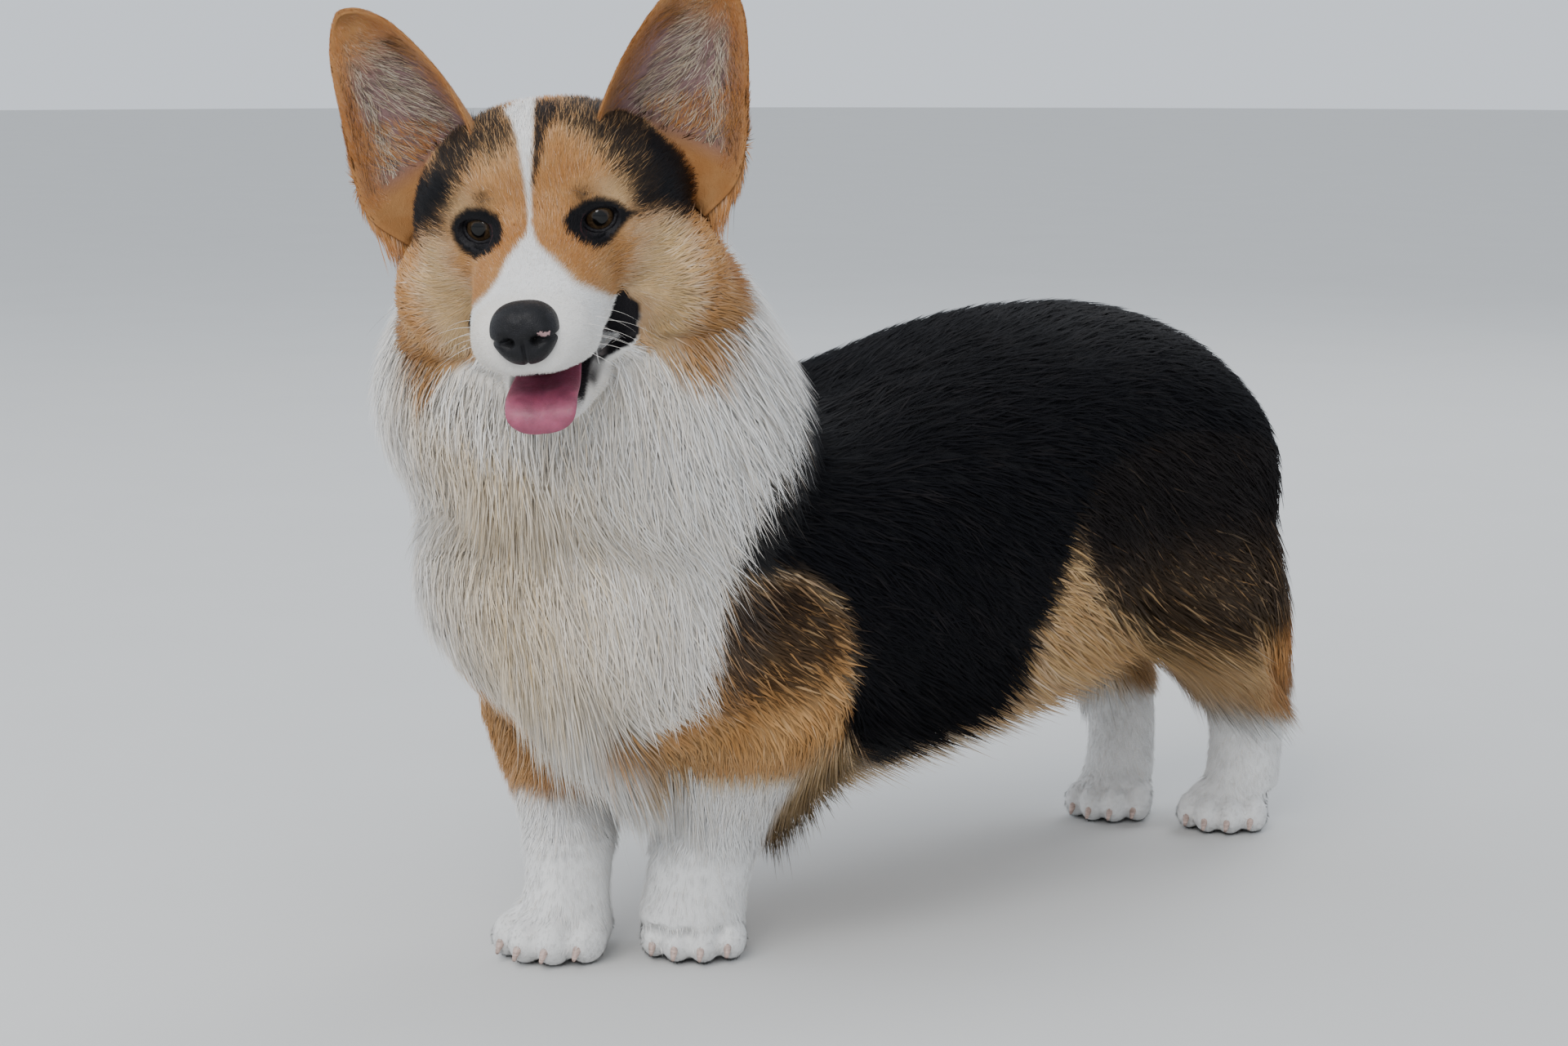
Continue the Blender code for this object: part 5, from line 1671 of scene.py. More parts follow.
def lip_skin(h):
    """The black lower lip beside each corner of the mouth, and the rim of the upper one."""
    _, y, z = h.T
    to_left = h * np.where(h[:, :1] < 0, (-1, 1, 1), (1, 1, 1))
    band = on_face(face_plane(to_left), LIP_BAND, 0.012) * ramp(y, -0.046, -0.036)
    below = ramp(z - np.interp(y, *LIP_UPPER), 0.0014, 0.0002)
    jaw = ramp(z - np.interp(y, *JAW_EDGE), -0.0054, -0.0040) * ramp(y, -0.066, -0.060)
    jaw = jaw * ramp(y, -0.012, -0.018) * ramp(y, -0.064, -0.054)
    rim = ramp(z - np.interp(y, *UPPER_RIM), 0.0026, 0.0012) * ramp(y, -0.016, -0.024)
    return np.maximum(np.maximum(band, jaw) * below, rim * (1 - below))


def ear_inside(p):
    """1 on the face of the ear that looks forward and lies well inside its rim."""
    made = np.zeros(len(p))
    sheets = {}
    for side in (-1, 1):
        points, _, share, _ = ear_grid(side, EAR_THICK / 2)
        sheets[side] = kd_of(points.reshape(-1, 3))
    last = points.shape[1] - 1
    right = in_head(p)[:, 0] < 0
    for i, point in enumerate(p):
        _, k, far = sheets[-1 if right[i] else 1].find(point)
        row, column_at = divmod(k, last + 1)
        if far < EAR_SHEET_NEAR:
            rim = 1 - abs(2 * column_at / last - 1)
            tip, root = max(0.0, 0.9 - share[row]) / 0.3, max(0.0, share[row] - 0.02) / 0.12
            made[i] = min(1.0, rim / 0.4) * min(1.0, tip) * min(1.0, root)
    return made


# Where the body's pieces of coat part
NECK_FOOT, RUFF_FOOT, FLANK_TOP, LEGS_FROM, RUMP_FROM = 0.118, 0.225, 0.235, 0.10, 0.120
# The undercoat's lie, length, width, lift, hang and clumping, over those of the coat above it
UNDERCOAT = (1.0, 0.62, 1.15, 0.74, 1.0, 0.5)
SHORT_COATS = ("coat_forelegs", "coat_hindlegs", "coat_paws")


def coat_pieces():
    """Name, mask on the skin, tufts for each square millimetre and plan of the body's pieces."""
    part = WORK["part"]
    x, y, z = WORK["middle"].T
    body = part == TRUNK_PART
    neck = body & (y < np.interp(z, *RUFF_EDGE) + 0.012) & (z > NECK_FOOT)
    legs = body & ~neck & (z < NECK_FOOT) & (np.abs(y) > LEGS_FROM)
    rest = body & ~neck & ~legs
    rump = rest & (y > RUMP_FROM)
    back = rest & ~rump & (z > FLANK_TOP)
    flank = rest & ~rump & (z <= FLANK_TOP)
    left = x >= 0
    made = {
        "coat_forelegs": (legs & (y < 0), 0.66, "spike"),
        "coat_hindlegs": (legs & (y >= 0), 0.62, "spike"),
        "coat_paws": (part == PAW_PART, 0.32, "spike"),
    }
    beds = {
        "coat_bib": (neck & (z < RUFF_FOOT), 1.02, 0.25),
        "coat_ruff": (neck & (z >= RUFF_FOOT), 0.68, 0.165),
        "coat_back": (back, 0.22, 0.055),
        "coat_flank_left": (flank & left, 0.20, 0.075),
        "coat_flank_right": (flank & ~left, 0.20, 0.075),
        "coat_rump_left": (rump & left, 0.22, 0.085),
        "coat_rump_right": (rump & ~left, 0.22, 0.085),
    }
    for name, (mask, under, over) in beds.items():
        made[name + "_under"] = mask, under, "spike"
        made[name] = mask, over, "bent"
    return made


def body_coat(names, slot):
    need_skin()
    settings = bpy.context.scene.corgi_coat
    made = coat_pieces()
    rough, shine = (0.60, 0.04) if slot == "coat_black" else (0.58, 0.25)
    for name in names:
        draw = np.random.default_rng(settings.seed + 17 * sorted(made).index(name))
        mask, density, plan = made[name]
        roots = scatter(draw, mask, density * settings.thickness)
        style = style_of(roots)
        if name.endswith("_under"):
            style = [value * share for value, share in zip(style, UNDERCOAT)]
        # Short coats are dimmer: painted shade in place of the shade that longer coats cast among
        # their own tufts
        hold, painted_shade_dim = (0.20, 0.60) if name in SHORT_COATS else (0.86, 1.0)
        piece = grown(name, draw, roots, plan, style, 14, 0.17, hold, painted_shade_dim)
        finished(piece, (), coat_material(name + "_hair", rough, 0.55, shine))


class CORGI_OT_coat_neck(bpy.types.Operator):
    """Grow the long white hair of the bib and the ruff"""

    bl_idname = "corgi.coat_neck"
    bl_label = "Ruff and Bib"

    def execute(self, context):
        body_coat(("coat_bib_under", "coat_bib", "coat_ruff_under", "coat_ruff"), "coat_white")
        return {"FINISHED"}


class CORGI_OT_coat_trunk(bpy.types.Operator):
    """Grow the sleek hair of the back, flanks and haunches"""

    bl_idname = "corgi.coat_trunk"
    bl_label = "Back and Haunches"

    def execute(self, context):
        beds = ("back", "flank_left", "flank_right", "rump_left", "rump_right")
        names = [f"coat_{bed}{layer}" for bed in beds for layer in ("_under", "")]
        body_coat(names, "coat_black")
        return {"FINISHED"}


class CORGI_OT_coat_legs(bpy.types.Operator):
    """Grow the short hair of the legs and paws"""

    bl_idname = "corgi.coat_legs"
    bl_label = "Legs and Paws"

    def execute(self, context):
        body_coat(SHORT_COATS, "coat_white")
        return {"FINISHED"}


# The oval round an eye that stays bare: half its width and height, and how far back it reaches
BARE_WIDE, BARE_HIGH, BARE_BACK = LID_WIDE + 0.0012, 0.0054 + 0.0010, 0.004


def clear_of_features(roots):
    """Leaves out roots on the nose, the lids' rims and the lips."""
    h = in_head(roots["at"])
    nose = (h - np.array(NOSE_AT)) / (np.array(NOSE_SIZE) * np.array((1.0, 1.0, 1.02)))
    keep = (np.linalg.norm(nose, axis=1) > 1.0) & (lip_skin(h) < 0.5)
    for side in (-1, 1):
        e = turned(roots["at"], lid_frame(side).inverted())
        edge = np.hypot(e[:, 0] / BARE_WIDE, e[:, 2] / BARE_HIGH)
        keep &= (edge > 1.0) | (e[:, 1] > BARE_BACK)
    return {key: value[keep] for key, value in roots.items()}


class CORGI_OT_coat_head(bpy.types.Operator):
    """Grow the short hair of the face, skull and cheeks"""

    bl_idname = "corgi.coat_head"
    bl_label = "Head Coat"

    def execute(self, context):
        need_skin()
        settings = context.scene.corgi_coat
        _, y, z = in_head(WORK["middle"]).T
        head, front, upper = WORK["part"] == HEAD_PART, y < -0.006, z > -0.010
        areas = {
            "coat_face": (head & front, 1.9, "spike"),
            "coat_skull": (head & ~front & upper, 1.2, "spike"),
            "coat_cheeks": (head & ~front & ~upper, 1.35, "bent"),
        }
        for k, (name, (mask, density, plan)) in enumerate(areas.items()):
            draw = np.random.default_rng(settings.seed + 401 + k)
            roots = clear_of_features(scatter(draw, mask, density * settings.thickness))
            piece = grown(name, draw, roots, plan, style_of(roots), 10, 0.18, 0.60)
            finished(piece, (), coat_material(name + "_hair", 0.58, 0.62))
        return {"FINISHED"}


def ear_roots(draw, side, offset, count, low, high, inner, outer):
    """Roots on one sheet of an ear, between shares of its height and width."""
    points, front, share, _ = ear_grid(side, offset)
    rows, columns = points.shape[:2]
    up = draw.uniform(low, high, count * 3)
    over = draw.uniform(inner, outer, count * 3)
    height, half_width, _ = np.array(EAR_ROWS).T
    wide = np.interp(up, height, half_width)
    keep = np.flatnonzero(draw.random(count * 3) < wide / 0.036)[:count]
    up, over = up[keep], over[keep]
    i = np.interp(up, share, np.arange(rows))
    j = (over + 1) / 2 * (columns - 1)
    a, b = np.minimum(i.astype(int), rows - 2), np.minimum(j.astype(int), columns - 2)
    s, t = (i - a)[:, None], (j - b)[:, None]

    def blend(grid):
        near = grid[a, b] * (1 - s) + grid[a + 1, b] * s
        far = grid[a, b + 1] * (1 - s) + grid[a + 1, b + 1] * s
        return near * (1 - t) + far * t

    at = blend(points)
    out = unit(blend(front)) * (1 if offset > 0 else -1)
    rise = unit(points[np.minimum(a + 1, rows - 1), b] - points[a, b])
    sweep = unit(points[a, b + 1] - points[a, b])
    _, _, face = nearest(at)
    corner = WORK["co"][WORK["corners"][face]]
    weight = 1 / np.maximum(np.linalg.norm(corner - at[:, None], axis=2), 1e-6)
    weight /= weight.sum(1, keepdims=True)
    uv = (WORK["uv"][face] * weight[..., None]).sum(1)
    roots = {"at": at, "out": out, "uv": uv, "part": np.full(len(at), EAR_PART)}
    return roots, up, over, rise, sweep


# Short hair on an ear: sheet, tufts, then from and to in shares of its height and width
EAR_SHEETS = (
    (-EAR_THICK / 2, 5600, -0.02, 1.01, -1.0, 1.0),
    (EAR_THICK / 2, 2900, -0.05, 1.01, -1.0, -0.50),
    (EAR_THICK / 2, 2300, -0.05, 1.01, 0.66, 1.0),
    (EAR_THICK / 2, 1500, 0.70, 1.01, -0.7, 0.8),
)
# Length, width, lift, hang and clumping of that hair
EAR_HAIR = (0.0066, 0.00046, 0.0007, 0.0, 0.06)
EAR_LINING_WIDTH, EAR_LINING_LIFT = 0.00032, 0.0026
# Long hair inside an ear: tufts, the same shares, its length and its lean across
EAR_BEDS = (
    (1500, 0.06, 0.72, -0.95, -0.42, 0.018, 1.0),
    (700, 0.12, 0.80, -0.50, 0.05, 0.014, 0.8),
    (750, 0.05, 0.84, 0.48, 0.92, 0.010, -0.10),
    (420, 0.40, 0.84, -0.10, 0.55, 0.010, 0.3),
    (420, 0.04, 0.42, -0.45, 0.55, 0.012, 0.4),
)


def ear_outside(draw, side, less):
    """The short hair on both sheets of an ear, and what falls over its root."""
    pieces = []
    for offset, count, *span in EAR_SHEETS:
        roots, _, over, rise, sweep = ear_roots(draw, side, offset, int(count * less), *span)
        style = rise + sweep * (over * 0.35)[:, None], *EAR_HAIR
        marks = marks_of(roots["at"], roots["out"], roots["part"])
        if offset > 0:
            marks[:, 2] *= 0.3
        pieces.append(grown("ear_short", draw, roots, "spike", style, 10, 0.16, 0.0, marks=marks))
    x, _, z = in_head(WORK["middle"]).T
    root = (WORK["part"] == EAR_PART) & (x * side > 0) & (z < 0.034)
    root[root] = ear_inside(WORK["middle"][root]) < 0.25
    roots = scatter(draw, root, 1.25 * less)
    rise = (EAR_TIP - EAR_ROOT) * Vector((side, 1, 1))
    rise = np.array(HEAD_FRAME.to_3x3() @ rise.normalized())
    down = from_head(np.tile((0.15 * side, 0.10, -1.0), (len(roots["at"]), 1)))
    fall = ramp(in_head(roots["at"])[:, 2], 0.022, 0.008)
    style = (
        mixed(rise, down, fall),
        0.0085 + 0.0105 * fall,
        0.00055 + 0.0002 * fall,
        0.0016 + 0.0012 * fall,
        0.35 * fall,
        0.15,
    )
    marks = marks_of(roots["at"], roots["out"], roots["part"])
    pieces.append(grown("ear_base", draw, roots, "spike", style, 10, 0.20, 0.5, marks=marks))
    return pieces


def ear_lining(draw, side, less):
    """The long pale hair that crosses the inside of an ear."""
    pieces = []
    for count, *span, length, across in EAR_BEDS:
        count = int(count * less)
        roots, up, over, rise, sweep = ear_roots(draw, side, EAR_THICK / 2, count, *span)
        total = len(up)
        lean = across * draw.uniform(0.6, 1.3, total)
        lie = rise * 0.95 + sweep * lean[:, None] + roots["out"] * 0.18
        fade = 1 - 0.5 * ramp(up, 0.45, 0.80)
        style = lie, length * fade, EAR_LINING_WIDTH, EAR_LINING_LIFT * fade, 0.35, 0.30
        edge = np.maximum(ramp(over, -0.38, -0.62), ramp(over, 0.60, 0.80))
        ruddy = np.clip(0.12 + 0.85 * edge + 0.6 * ramp(up, 0.5, 0.85), 0, 1)
        marks = stacked(0.60, ruddy, 0.32 + 0.22 * draw.random(total), 0.35 + 0.6 * edge)
        pieces.append(grown("ear_long", draw, roots, "spike", style, 8, 0.28, 0.5, marks=marks))
    return pieces


class CORGI_OT_coat_ears(bpy.types.Operator):
    """Grow the red hair on the ears and the long pale hair inside them"""

    bl_idname = "corgi.coat_ears"
    bl_label = "Ear Hair"

    def execute(self, context):
        need_skin()
        settings = context.scene.corgi_coat
        less = settings.thickness * 1.0
        for side, word in SIDES:
            draw = np.random.default_rng(settings.seed + 900 + side)
            piece = joined("coat_ear_" + word, ear_outside(draw, side, less))
            finished(piece, (), coat_material("ear_hair_" + word, 0.58, 0.6))
            piece = joined("coat_ear_inside_" + word, ear_lining(draw, side, less))
            finished(piece, (), coat_material("ear_inner_hair_" + word, 0.6, 0.5))
        return {"FINISHED"}


class CORGI_OT_eyes(bpy.types.Operator):
    """Set the eyes, with a clear bulge over a brown iris"""

    bl_idname = "corgi.eyes"
    bl_label = "Eyes"

    def execute(self, context):
        for side, word in SIDES:
            deselect()
            bpy.ops.mesh.primitive_uv_sphere_add(
                segments=96, ring_count=64, radius=1.0, location=(0, 0, 0)
            )
            eye = context.object
            eye.name = eye.data.name = "eyeball_" + word
            carried(eye, Matrix.Rotation(math.radians(90), 4, "X"))
            co = points_of(eye.data)
            turn = np.arccos(np.clip(-co[:, 1], -1, 1))
            bulge = EYE_BULGE * ramp(turn, EYE_BULGE_EDGE, 0.0)
            put_attribute(eye.data, "iris", stacked(turn, 0.0, 0.0))
            set_points(eye.data, co * (1 + bulge)[:, None])
            carried(eye, eye_frame(side) @ Matrix.Scale(EYE_RADIUS, 4))
            bpy.ops.object.shade_smooth()
            finished(eye, ("eye_" + word,), eye_material(word))
        return {"FINISHED"}


# How far the clear front of the eye stands out, and where that ends, in radians off its axis
EYE_BULGE, EYE_BULGE_EDGE = 0.030, 0.90
# Pupil, rim and white of the eye: where each starts and is full, in radians off its axis
EYE_RINGS = (
    (0.42, 0.32, (0.002, 0.002, 0.002)),
    (0.60, 0.68, (0.006, 0.004, 0.003)),
    (0.80, 0.92, (0.16, 0.10, 0.085)),
)


def eye_material(word):
    made, tree, shader = new_material(
        "eye_" + word,
        Roughness=0.35,
        Coat_Weight=0.55,
        Coat_Roughness=0.03,
        Specular_IOR_Level=0.05,
    )
    iris = bpy.context.scene.corgi_face.iris_colour
    turn = channels_of(tree, "iris")[0]
    dark = [c * 0.30 for c in iris]
    light = [min(1.0, c * 1.9) for c in iris]
    streaks = range_node(tree, noise_node(tree, 900.0, 4.0, 0.7), 0.35, 0.65, 0.0, 1.0)
    outward = range_node(tree, turn, 0.36, 0.62, 0.0, 0.65)
    colour = mix_node(tree, outward, mix_node(tree, streaks, dark, light), iris)
    for start, full, ring in EYE_RINGS:
        colour = mix_node(tree, range_node(tree, turn, start, full, 0.0, 1.0), colour, ring)
    feed(tree, shader["Base Color"], colour)
    return made


def bell(*pairs):
    """1 at a place and less round it: pairs of distance and reach."""
    return np.exp(-sum((far / reach) ** 2 for far, reach in pairs))


class CORGI_OT_nose(bpy.types.Operator):
    """Shape the nose, with its nostrils, side slits and groove"""

    bl_idname = "corgi.nose"
    bl_label = "Nose"

    def execute(self, context):
        nose = ball("nose_leather", (0, 0, 0), (1, 1, 1), cuts=6)
        d = points_of(nose.data)
        body = (np.abs(d) ** NOSE_POWER).sum(1) ** (-1 / NOSE_POWER)
        co = d * body[:, None] * np.array(NOSE_SIZE)
        x, y, z = co.T
        x *= 1 - 0.20 * ramp(z, 0.002, -0.013)
        side = np.abs(x)
        front = ramp(y, 0.002, -0.006)
        hole = bell((side - 0.0066, 0.0026), (z + 0.0016, 0.0023)) * front
        slit = bell((z + 0.0022 - 0.10 * (side - 0.0066), 0.0010))
        slit = slit * ramp(side, 0.0070, 0.0095) * ramp(y, 0.006, 0.001)
        wing = bell((side - 0.0088, 0.0032), (z - 0.0028, 0.0026)) * front
        groove = bell((x, 0.00075)) * ramp(z, 0.001, -0.004) * front
        crease = bell((x, 0.0022)) * ramp(z, -0.002, 0.004) * front
        push = -0.0052 * hole - 0.0018 * slit + 0.0007 * wing - 0.0013 * groove - 0.0005 * crease
        pink = bell((x - 0.0100, 0.0026), (z - 0.0012, 0.0012)) * front
        speck = 0.9 * bell((x - 0.0082, 0.0012), (z - 0.0022, 0.0012)) * front
        # The nostrils' mask also goes to the material, for their painted shade
        put_attribute(nose.data, "spots", stacked(np.maximum(pink, speck), hole, 0.0))
        set_points(nose.data, co + unit(d / np.array(NOSE_SIZE)) * push[:, None])
        carried(nose, HEAD_FRAME @ Matrix.Translation(NOSE_AT))
        bpy.ops.object.shade_smooth()
        finished(nose, ("nose",), nose_material())
        return {"FINISHED"}


def nose_material():
    made, tree, shader = new_material(
        "nose_leather", Coat_Weight=0.05, Coat_Roughness=0.2, Specular_IOR_Level=0.22
    )
    black = bpy.context.scene.corgi_face.nose_colour
    pink, hole, _ = channels_of(tree, "spots")
    pebbles = add_node(tree, "TexVoronoi", Scale=1150.0, Vector=object_place(tree))
    pebbles.feature = "DISTANCE_TO_EDGE"
    cracks = range_node(tree, pebbles.outputs["Distance"], 0.0, 0.28, 0.0, 1.0)
    light = [min(1.0, 2.4 * c) for c in black]
    colour = uneven(tree, 240.0, 0.35, 0.7, black, light)
    frayed = range_node(tree, noise_node(tree, 900.0), 0.3, 0.7, -0.35, 0.35)
    ragged = math_node(tree, "ADD", pink, frayed)
    bare = range_node(tree, ragged, 0.45, 0.62, 0.0, 1.0)
    colour = mix_node(tree, bare, colour, (0.42, 0.26, 0.26))
    # Painted shade: the nostrils' shallow dents are coloured black for the depth of the nostrils
    colour = mix_node(tree, hole, colour, (0.004, 0.004, 0.004))
    feed(tree, shader["Base Color"], colour)
    feed(tree, shader["Roughness"], range_node(tree, cracks, 0.0, 1.0, 0.60, 0.38))
    feed(tree, shader["Normal"], bump_node(tree, cracks, 0.35, 0.0003))
    return made


# The groove along the tongue, and how far the tongue's rim rolls up where it is wide
GROOVE_DEPTH, GROOVE_WIDTH, RIM_CURL = 0.0012, 0.0018, 0.0014


class CORGI_OT_tongue(bpy.types.Operator):
    """Lay the tongue over the lower jaw, with its groove"""

    bl_idname = "corgi.tongue"
    bl_label = "Tongue"

    def execute(self, context):
        rings = []
        table = smooth_table(TONGUE, 5)
        for i, (along, height, wide, thick) in enumerate(table):
            after, before = table[min(i + 1, len(table) - 1)], table[max(i - 1, 0)]
            way = Vector((0, after[0] - before[0], after[1] - before[1])).normalized()
            up = way.cross(ACROSS)
            rolled = min(1.0, max(0.0, (wide - 0.0130) / 0.002))
            ring = []
            for x, z in oval(wide, thick, thick, 2.4, 48):
                groove = min(GROOVE_DEPTH, 0.5 * thick) * math.exp(-((x / GROOVE_WIDTH) ** 2))
                dent = groove if z > 0 else 0.0
                curl = RIM_CURL * (x / wide) ** 2 * rolled
                ring.append(HEAD_FRAME @ (Vector((x, along, height)) + up * (z - dent + curl)))
            rings.append(ring)
        tongue = loft("tongue_flesh", rings)
        choose(tongue)
        bpy.ops.object.shade_smooth()
        finished(tongue, ("tongue",), tongue_material())
        return {"FINISHED"}


def tongue_material():
    made, tree, shader = new_material(
        "tongue_flesh",
        Roughness=0.52,
        Coat_Roughness=0.32,
        Subsurface_Weight=0.15,
        Subsurface_Scale=0.003,
    )
    pink = bpy.context.scene.corgi_face.tongue_colour
    colour = uneven(tree, 130.0, 0.35, 0.65, pink, [c * 0.62 for c in pink])
    feed(tree, shader["Base Color"], colour)
    buds = add_node(tree, "TexVoronoi", Scale=1500.0, Vector=object_place(tree))
    wet = range_node(tree, noise_node(tree, 400.0), 0.4, 0.7, 0.05, 0.30)
    feed(tree, shader["Coat Weight"], wet)
    feed(tree, shader["Normal"], bump_node(tree, buds.outputs["Distance"], 0.35, 0.0003))
    return made


def claw_rings(matrix, x, y):
    """A claw that curves down from its toe, as rings."""
    rings = []
    for k in range(CLAW_RINGS):
        t = CLAW_START + CLAW_REACH * k / (CLAW_RINGS - 1)
        size = CLAW_RADIUS * float(np.interp(t, *CLAW_TAPER))
        back = y - CLAW_SET_BACK - CLAW_LENGTH * 0.62 * t
        centre = Vector((x, back, CLAW_ROOT_HEIGHT - CLAW_LENGTH * (0.6 * max(t, 0) ** 1.3)))
        section = oval(size, size, size * 0.8, 2.0, 16)
        rings.append([matrix @ (centre + Vector((CLAW_FLAT * a, 0, b))) for a, b in section])
    return rings


class CORGI_OT_claws(bpy.types.Operator):
    """Set a short curved claw in every toe, and pads under the paws"""

    bl_idname = "corgi.claws"
    bl_label = "Claws and Pads"

    def execute(self, context):
        claws, pads = [], []
        for name in PAWS:
            matrix = paw_matrix(name)
            turn = matrix.to_3x3()
            for x, y, wide in TOES:
                claws.append(loft("claw", claw_rings(matrix, x, y)))
                at, size = Vector((x, y + 0.001, 0.0030)), (wide * 0.50, 0.0065, 0.0030)
                pads.append(ball("pad", matrix @ at, size, turn, 3))
            pads.append(ball("pad", matrix @ Vector(SOLE_AT), SOLE_SIZE, turn, 3))
        claw = joined("claws", claws)
        bpy.ops.object.shade_smooth()
        finished(claw, (), claw_material())
        pad = joined("paw_pads", pads)
        above_floor(pad, 0.0)
        bpy.ops.object.shade_smooth()
        finished(pad, (), pad_material())
        return {"FINISHED"}


def claw_material():
    made, tree, shader = new_material("claw_horn", Roughness=0.38)
    horn = bpy.context.scene.corgi_face.claw_colour
    stretch = add_node(tree, "Mapping", Vector=object_place(tree), Scale=(1.0, 1.0, 5.0))
    grain = noise_node(tree, 260.0, 4.0, 0.55, stretch.outputs["Vector"])
    streaks = range_node(tree, grain, 0.35, 0.7, 0.0, 1.0)
    colour = mix_node(tree, streaks, horn, [c * 0.45 for c in horn])
    feed(tree, shader["Base Color"], colour)
    feed(tree, shader["Normal"], bump_node(tree, grain, 0.25, 0.0003))
    return made


def pad_material():
    made, tree, shader = new_material("pad_leather", Roughness=0.7)
    black = bpy.context.scene.corgi_face.nose_colour
    colour = mix_node(tree, noise_node(tree, 300.0, 4.0), black, (0.07, 0.055, 0.052))
    feed(tree, shader["Base Color"], colour)
    feed(tree, shader["Normal"], bump_node(tree, noise_node(tree, 900.0), 0.4, 0.0004))
    return made


# Whiskers in the head's frame: root, way, share of the full length, dark or pale
def whisker_rows(draw):
    """Whiskers in the head's frame: start of the search, way, share of full length, darkness."""
    rows = []
    for side in (-1, 1):
        for line in range(3):
            for k in range(3):
                along = -0.074 + 0.011 * k + 0.004 * (line % 2)
                fall = -0.05 - 0.20 * line + draw.uniform(-0.20, 0.20)
                start = (side * 0.05, along, -0.031 - 0.0065 * line)
                way = (side * 1.0, 0.30 + 0.35 * k / 3, fall)
                rows.append((start, way, draw.uniform(0.55, 1.0), 0.0))
        for k in range(4):
            start = (side * (0.017 + 0.004 * k), -0.06, 0.0145 + 0.001 * k)
            way = (side * 0.55, -0.75, 0.35 + 0.25 * k)
            rows.append((start, way, draw.uniform(0.4, 0.6), 0.9))
        for k in range(3):
            start = (side * 0.09, 0.006 * k, -0.046 + 0.005 * k)
            rows.append((start, (side * 1.0, 0.1 * k, -0.35), draw.uniform(0.6, 0.8), 0.9))
    for k in range(5):
        way = (draw.uniform(-0.5, 0.5), -0.6, -0.8)
        rows.append(((0.006 * (k - 2), -0.11, -0.072), way, draw.uniform(0.25, 0.4), 0.0))
    return rows


WHISKER_RADIUS, WHISKER_RINGS, WHISKER_SAG = 0.00009, 9, 0.35


def whisker(start, way, full, dark):
    """One tapered whisker on the skin, or none where the search misses it."""
    turn = HEAD_FRAME.to_3x3()
    inward = Vector((-start.x, 0.0, 0.0)).normalized() if abs(start.x) > 0.02 else Vector((0, 1, 0))
    hit, normal, _, _ = WORK["tree"].ray_cast(HEAD_FRAME @ start, turn @ inward)
    if hit is None:
        return None
    ahead = turn @ way.normalized()
    side = ahead.cross(UP).normalized()
    up = side.cross(ahead).normalized()
    rings = []
    for k in range(WHISKER_RINGS):
        t = k / (WHISKER_RINGS - 1)
        centre = hit - normal * 0.001 + ahead * full * t + UP * (-WHISKER_SAG * full * t * t)
        thin = WHISKER_RADIUS * (1 - 0.85 * t)
        rings.append([centre + side * a + up * b for a, b in oval(thin, thin, thin, 2.0, 5)])
    piece = loft("whisker", rings)
    count = len(piece.data.vertices)
    put_attribute(piece.data, "marks", np.tile((0.2, 0.0, dark, 0.0), (count, 1)))
    put_attribute(piece.data, "strand", np.tile((0.6, 0.6, 0.5), (count, 1)))
    return piece


class CORGI_OT_whiskers(bpy.types.Operator):
    """Set the whiskers of the muzzle, brows and cheeks"""

    bl_idname = "corgi.whiskers"
    bl_label = "Whiskers"

    def execute(self, context):
        need_skin()
        longest = context.scene.corgi_face.whisker_length
        draw = np.random.default_rng(context.scene.corgi_coat.seed + 77)
        pieces = [
            whisker(Vector(start), Vector(way), longest * size, dark)
            for start, way, size, dark in whisker_rows(draw)
        ]
        whiskers = joined("whiskers", [piece for piece in pieces if piece])
        bpy.ops.object.shade_smooth()
        finished(whiskers, (), coat_material("whisker_hair", 0.35, 0.9))
        return {"FINISHED"}


# Lights: place, size, share of the key light's power, colour
LAMPS = {
    "key_light": ((0.8, -2.5, 2.7), 2.2, 1.0, (1.0, 0.97, 0.93)),
    "fill_light": ((-2.2, -1.6, 1.6), 2.2, 0.25, (0.93, 0.96, 1.0)),
    "rim_light": ((-0.8, 2.4, 2.2), 1.8, 0.45, (0.95, 0.97, 1.0)),
    "catch_light": ((1.53, -2.02, 1.41), 0.75, 0.24, (1.0, 1.0, 1.0)),
}
LAMPS_AIM = Vector((0.0, -0.1, 0.22))
SKY_COLOUR = (0.86, 0.92, 1.0, 1.0)
FLOOR_RADIUS, FLOOR_DROP = 14.0, 0.0002


def aimed(way):
    """The turn of a light or a camera that looks along a way."""
    return way.to_track_quat("-Z", "Y").to_euler()


def floor_material(colour):
    made, tree, shader = new_material("studio_floor", Roughness=0.9, Specular_IOR_Level=0.1)
    light = [min(1.0, c * 1.06) for c in colour]
    mottled = mix_node(tree, noise_node(tree, 6.0, 4.0), colour, light)
    feed(tree, shader["Base Color"], mottled)
    return made


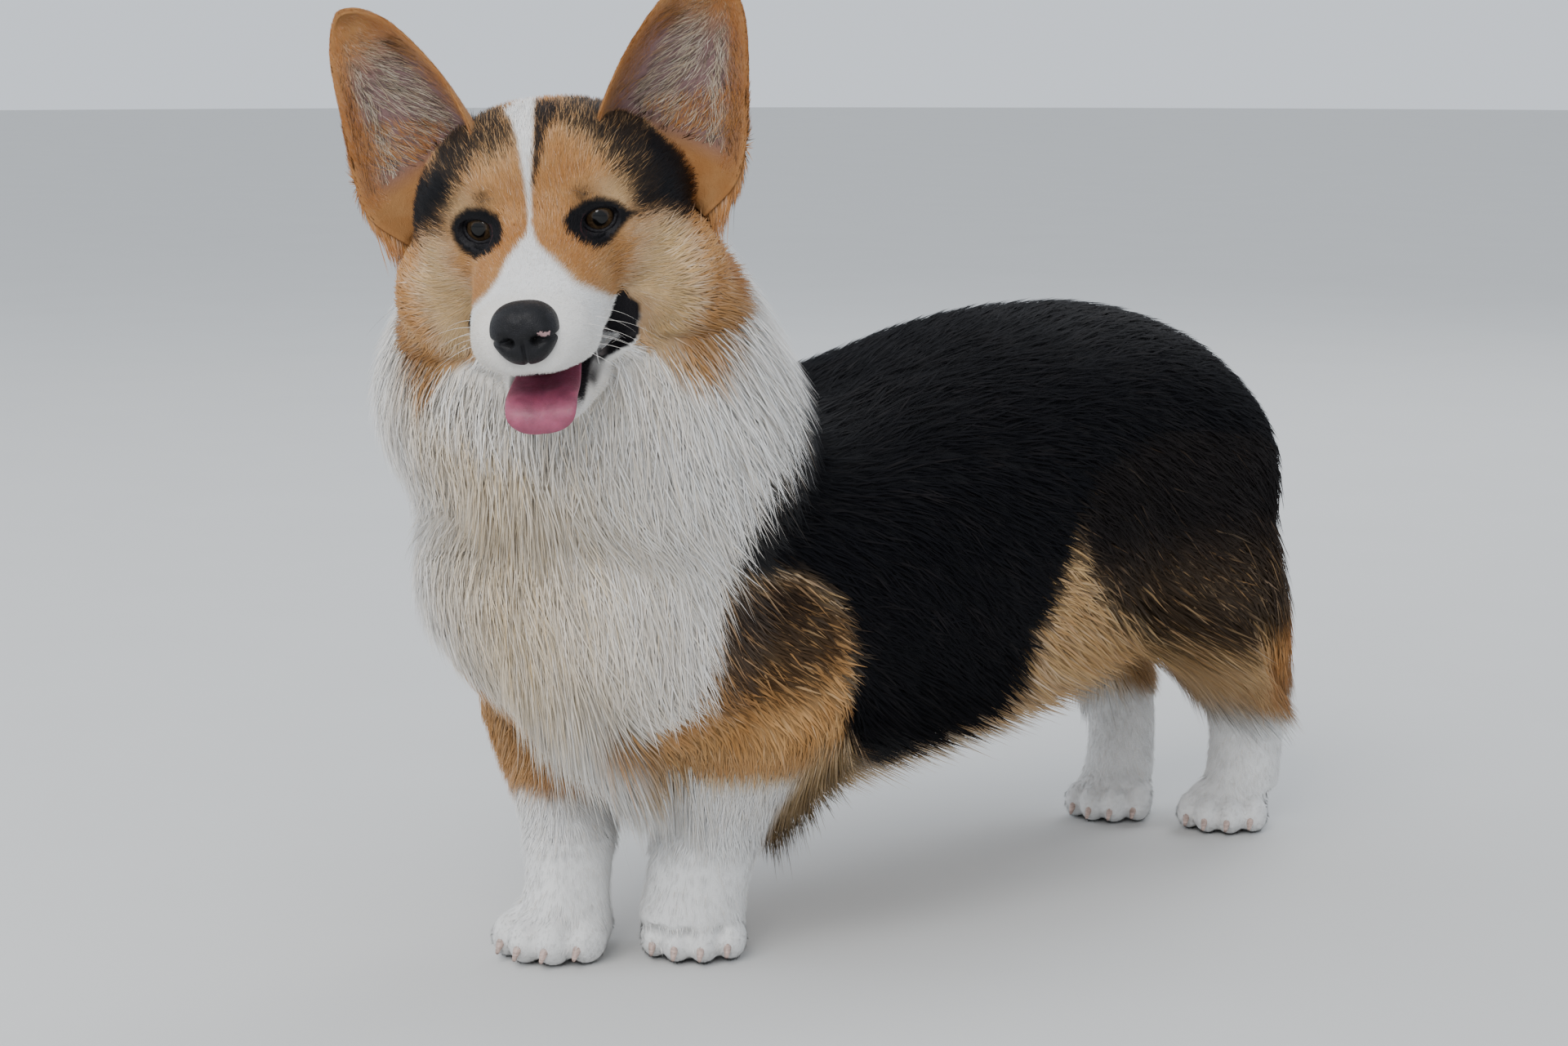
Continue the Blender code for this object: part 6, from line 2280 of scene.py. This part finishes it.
class CORGI_OT_stage(bpy.types.Operator):
    """Set the floor, the lights, the sky and the camera"""

    bl_idname = "corgi.stage"
    bl_label = "Stage"

    def execute(self, context):
        settings = context.scene.corgi_stage
        deselect()
        bpy.ops.mesh.primitive_circle_add(
            vertices=128, radius=FLOOR_RADIUS, fill_type="NGON", location=(0, 0, 0)
        )
        floor = context.object
        floor.name = "studio_floor"
        carried(floor, Matrix.Translation((0, 0, -FLOOR_DROP)))
        floor.data.materials.append(floor_material(settings.floor_colour))
        context.scene.world = world = bpy.data.worlds.new("studio_sky")
        world.use_nodes = True
        sky = world.node_tree.nodes["Background"].inputs
        sky["Color"].default_value = SKY_COLOUR
        sky["Strength"].default_value = settings.sky_strength
        for name, (where, size, share, colour) in LAMPS.items():
            deselect()
            bpy.ops.object.light_add(type="AREA", location=where)
            lamp = context.object
            lamp.name = name
            lamp.data.shape, lamp.data.size = "DISK", size
            lamp.data.energy, lamp.data.color = settings.key_power * share, colour
            lamp.rotation_euler = aimed(LAMPS_AIM - Vector(where))
        pitch = math.radians(CAMERA_PITCH)
        flat = math.cos(pitch)
        ahead = Vector((CAMERA_AIM[0] * flat, CAMERA_AIM[1] * flat, -math.sin(pitch)))
        bpy.ops.object.camera_add(location=CAMERA_AT + SHIFT, rotation=aimed(ahead))
        camera = context.object
        camera.name = "camera"
        camera.data.sensor_width, camera.data.lens = SENSOR, LENS
        context.scene.camera = camera
        return {"FINISHED"}


class CORGI_PT_panel(bpy.types.Panel):
    """Lists the pieces of the corgi in the order that they are made."""

    bl_idname = "CORGI_PT_panel"
    bl_label = "Corgi"
    bl_space_type = "VIEW_3D"
    bl_region_type = "UI"
    bl_category = "Corgi"

    def draw(self, context):
        for group in SETTINGS:
            box = self.layout.box()
            settings = getattr(context.scene, group)
            for name in settings.__annotations__:
                box.prop(settings, name)
        for step in STEPS:
            self.layout.operator(step.bl_idname)


STEPS = (
    CORGI_OT_skin,
    CORGI_OT_eyes,
    CORGI_OT_nose,
    CORGI_OT_tongue,
    CORGI_OT_claws,
    CORGI_OT_whiskers,
    CORGI_OT_coat_neck,
    CORGI_OT_coat_trunk,
    CORGI_OT_coat_legs,
    CORGI_OT_coat_head,
    CORGI_OT_coat_ears,
    CORGI_OT_stage,
)
SETTINGS = {"corgi_coat": CoatSettings, "corgi_face": FaceSettings, "corgi_stage": StageSettings}


def register():
    for made in (*SETTINGS.values(), *STEPS, CORGI_PT_panel):
        bpy.utils.register_class(made)
    for name, group in SETTINGS.items():
        setattr(bpy.types.Scene, name, bpy.props.PointerProperty(type=group))


def unregister():
    for name in SETTINGS:
        delattr(bpy.types.Scene, name)
    for made in (CORGI_PT_panel, *reversed(STEPS), *reversed(SETTINGS.values())):
        bpy.utils.unregister_class(made)


def main():
    register()
    for step in STEPS:
        group, name = step.bl_idname.split(".")
        getattr(getattr(bpy.ops, group), name)()


if __name__ == "__main__":
    main()
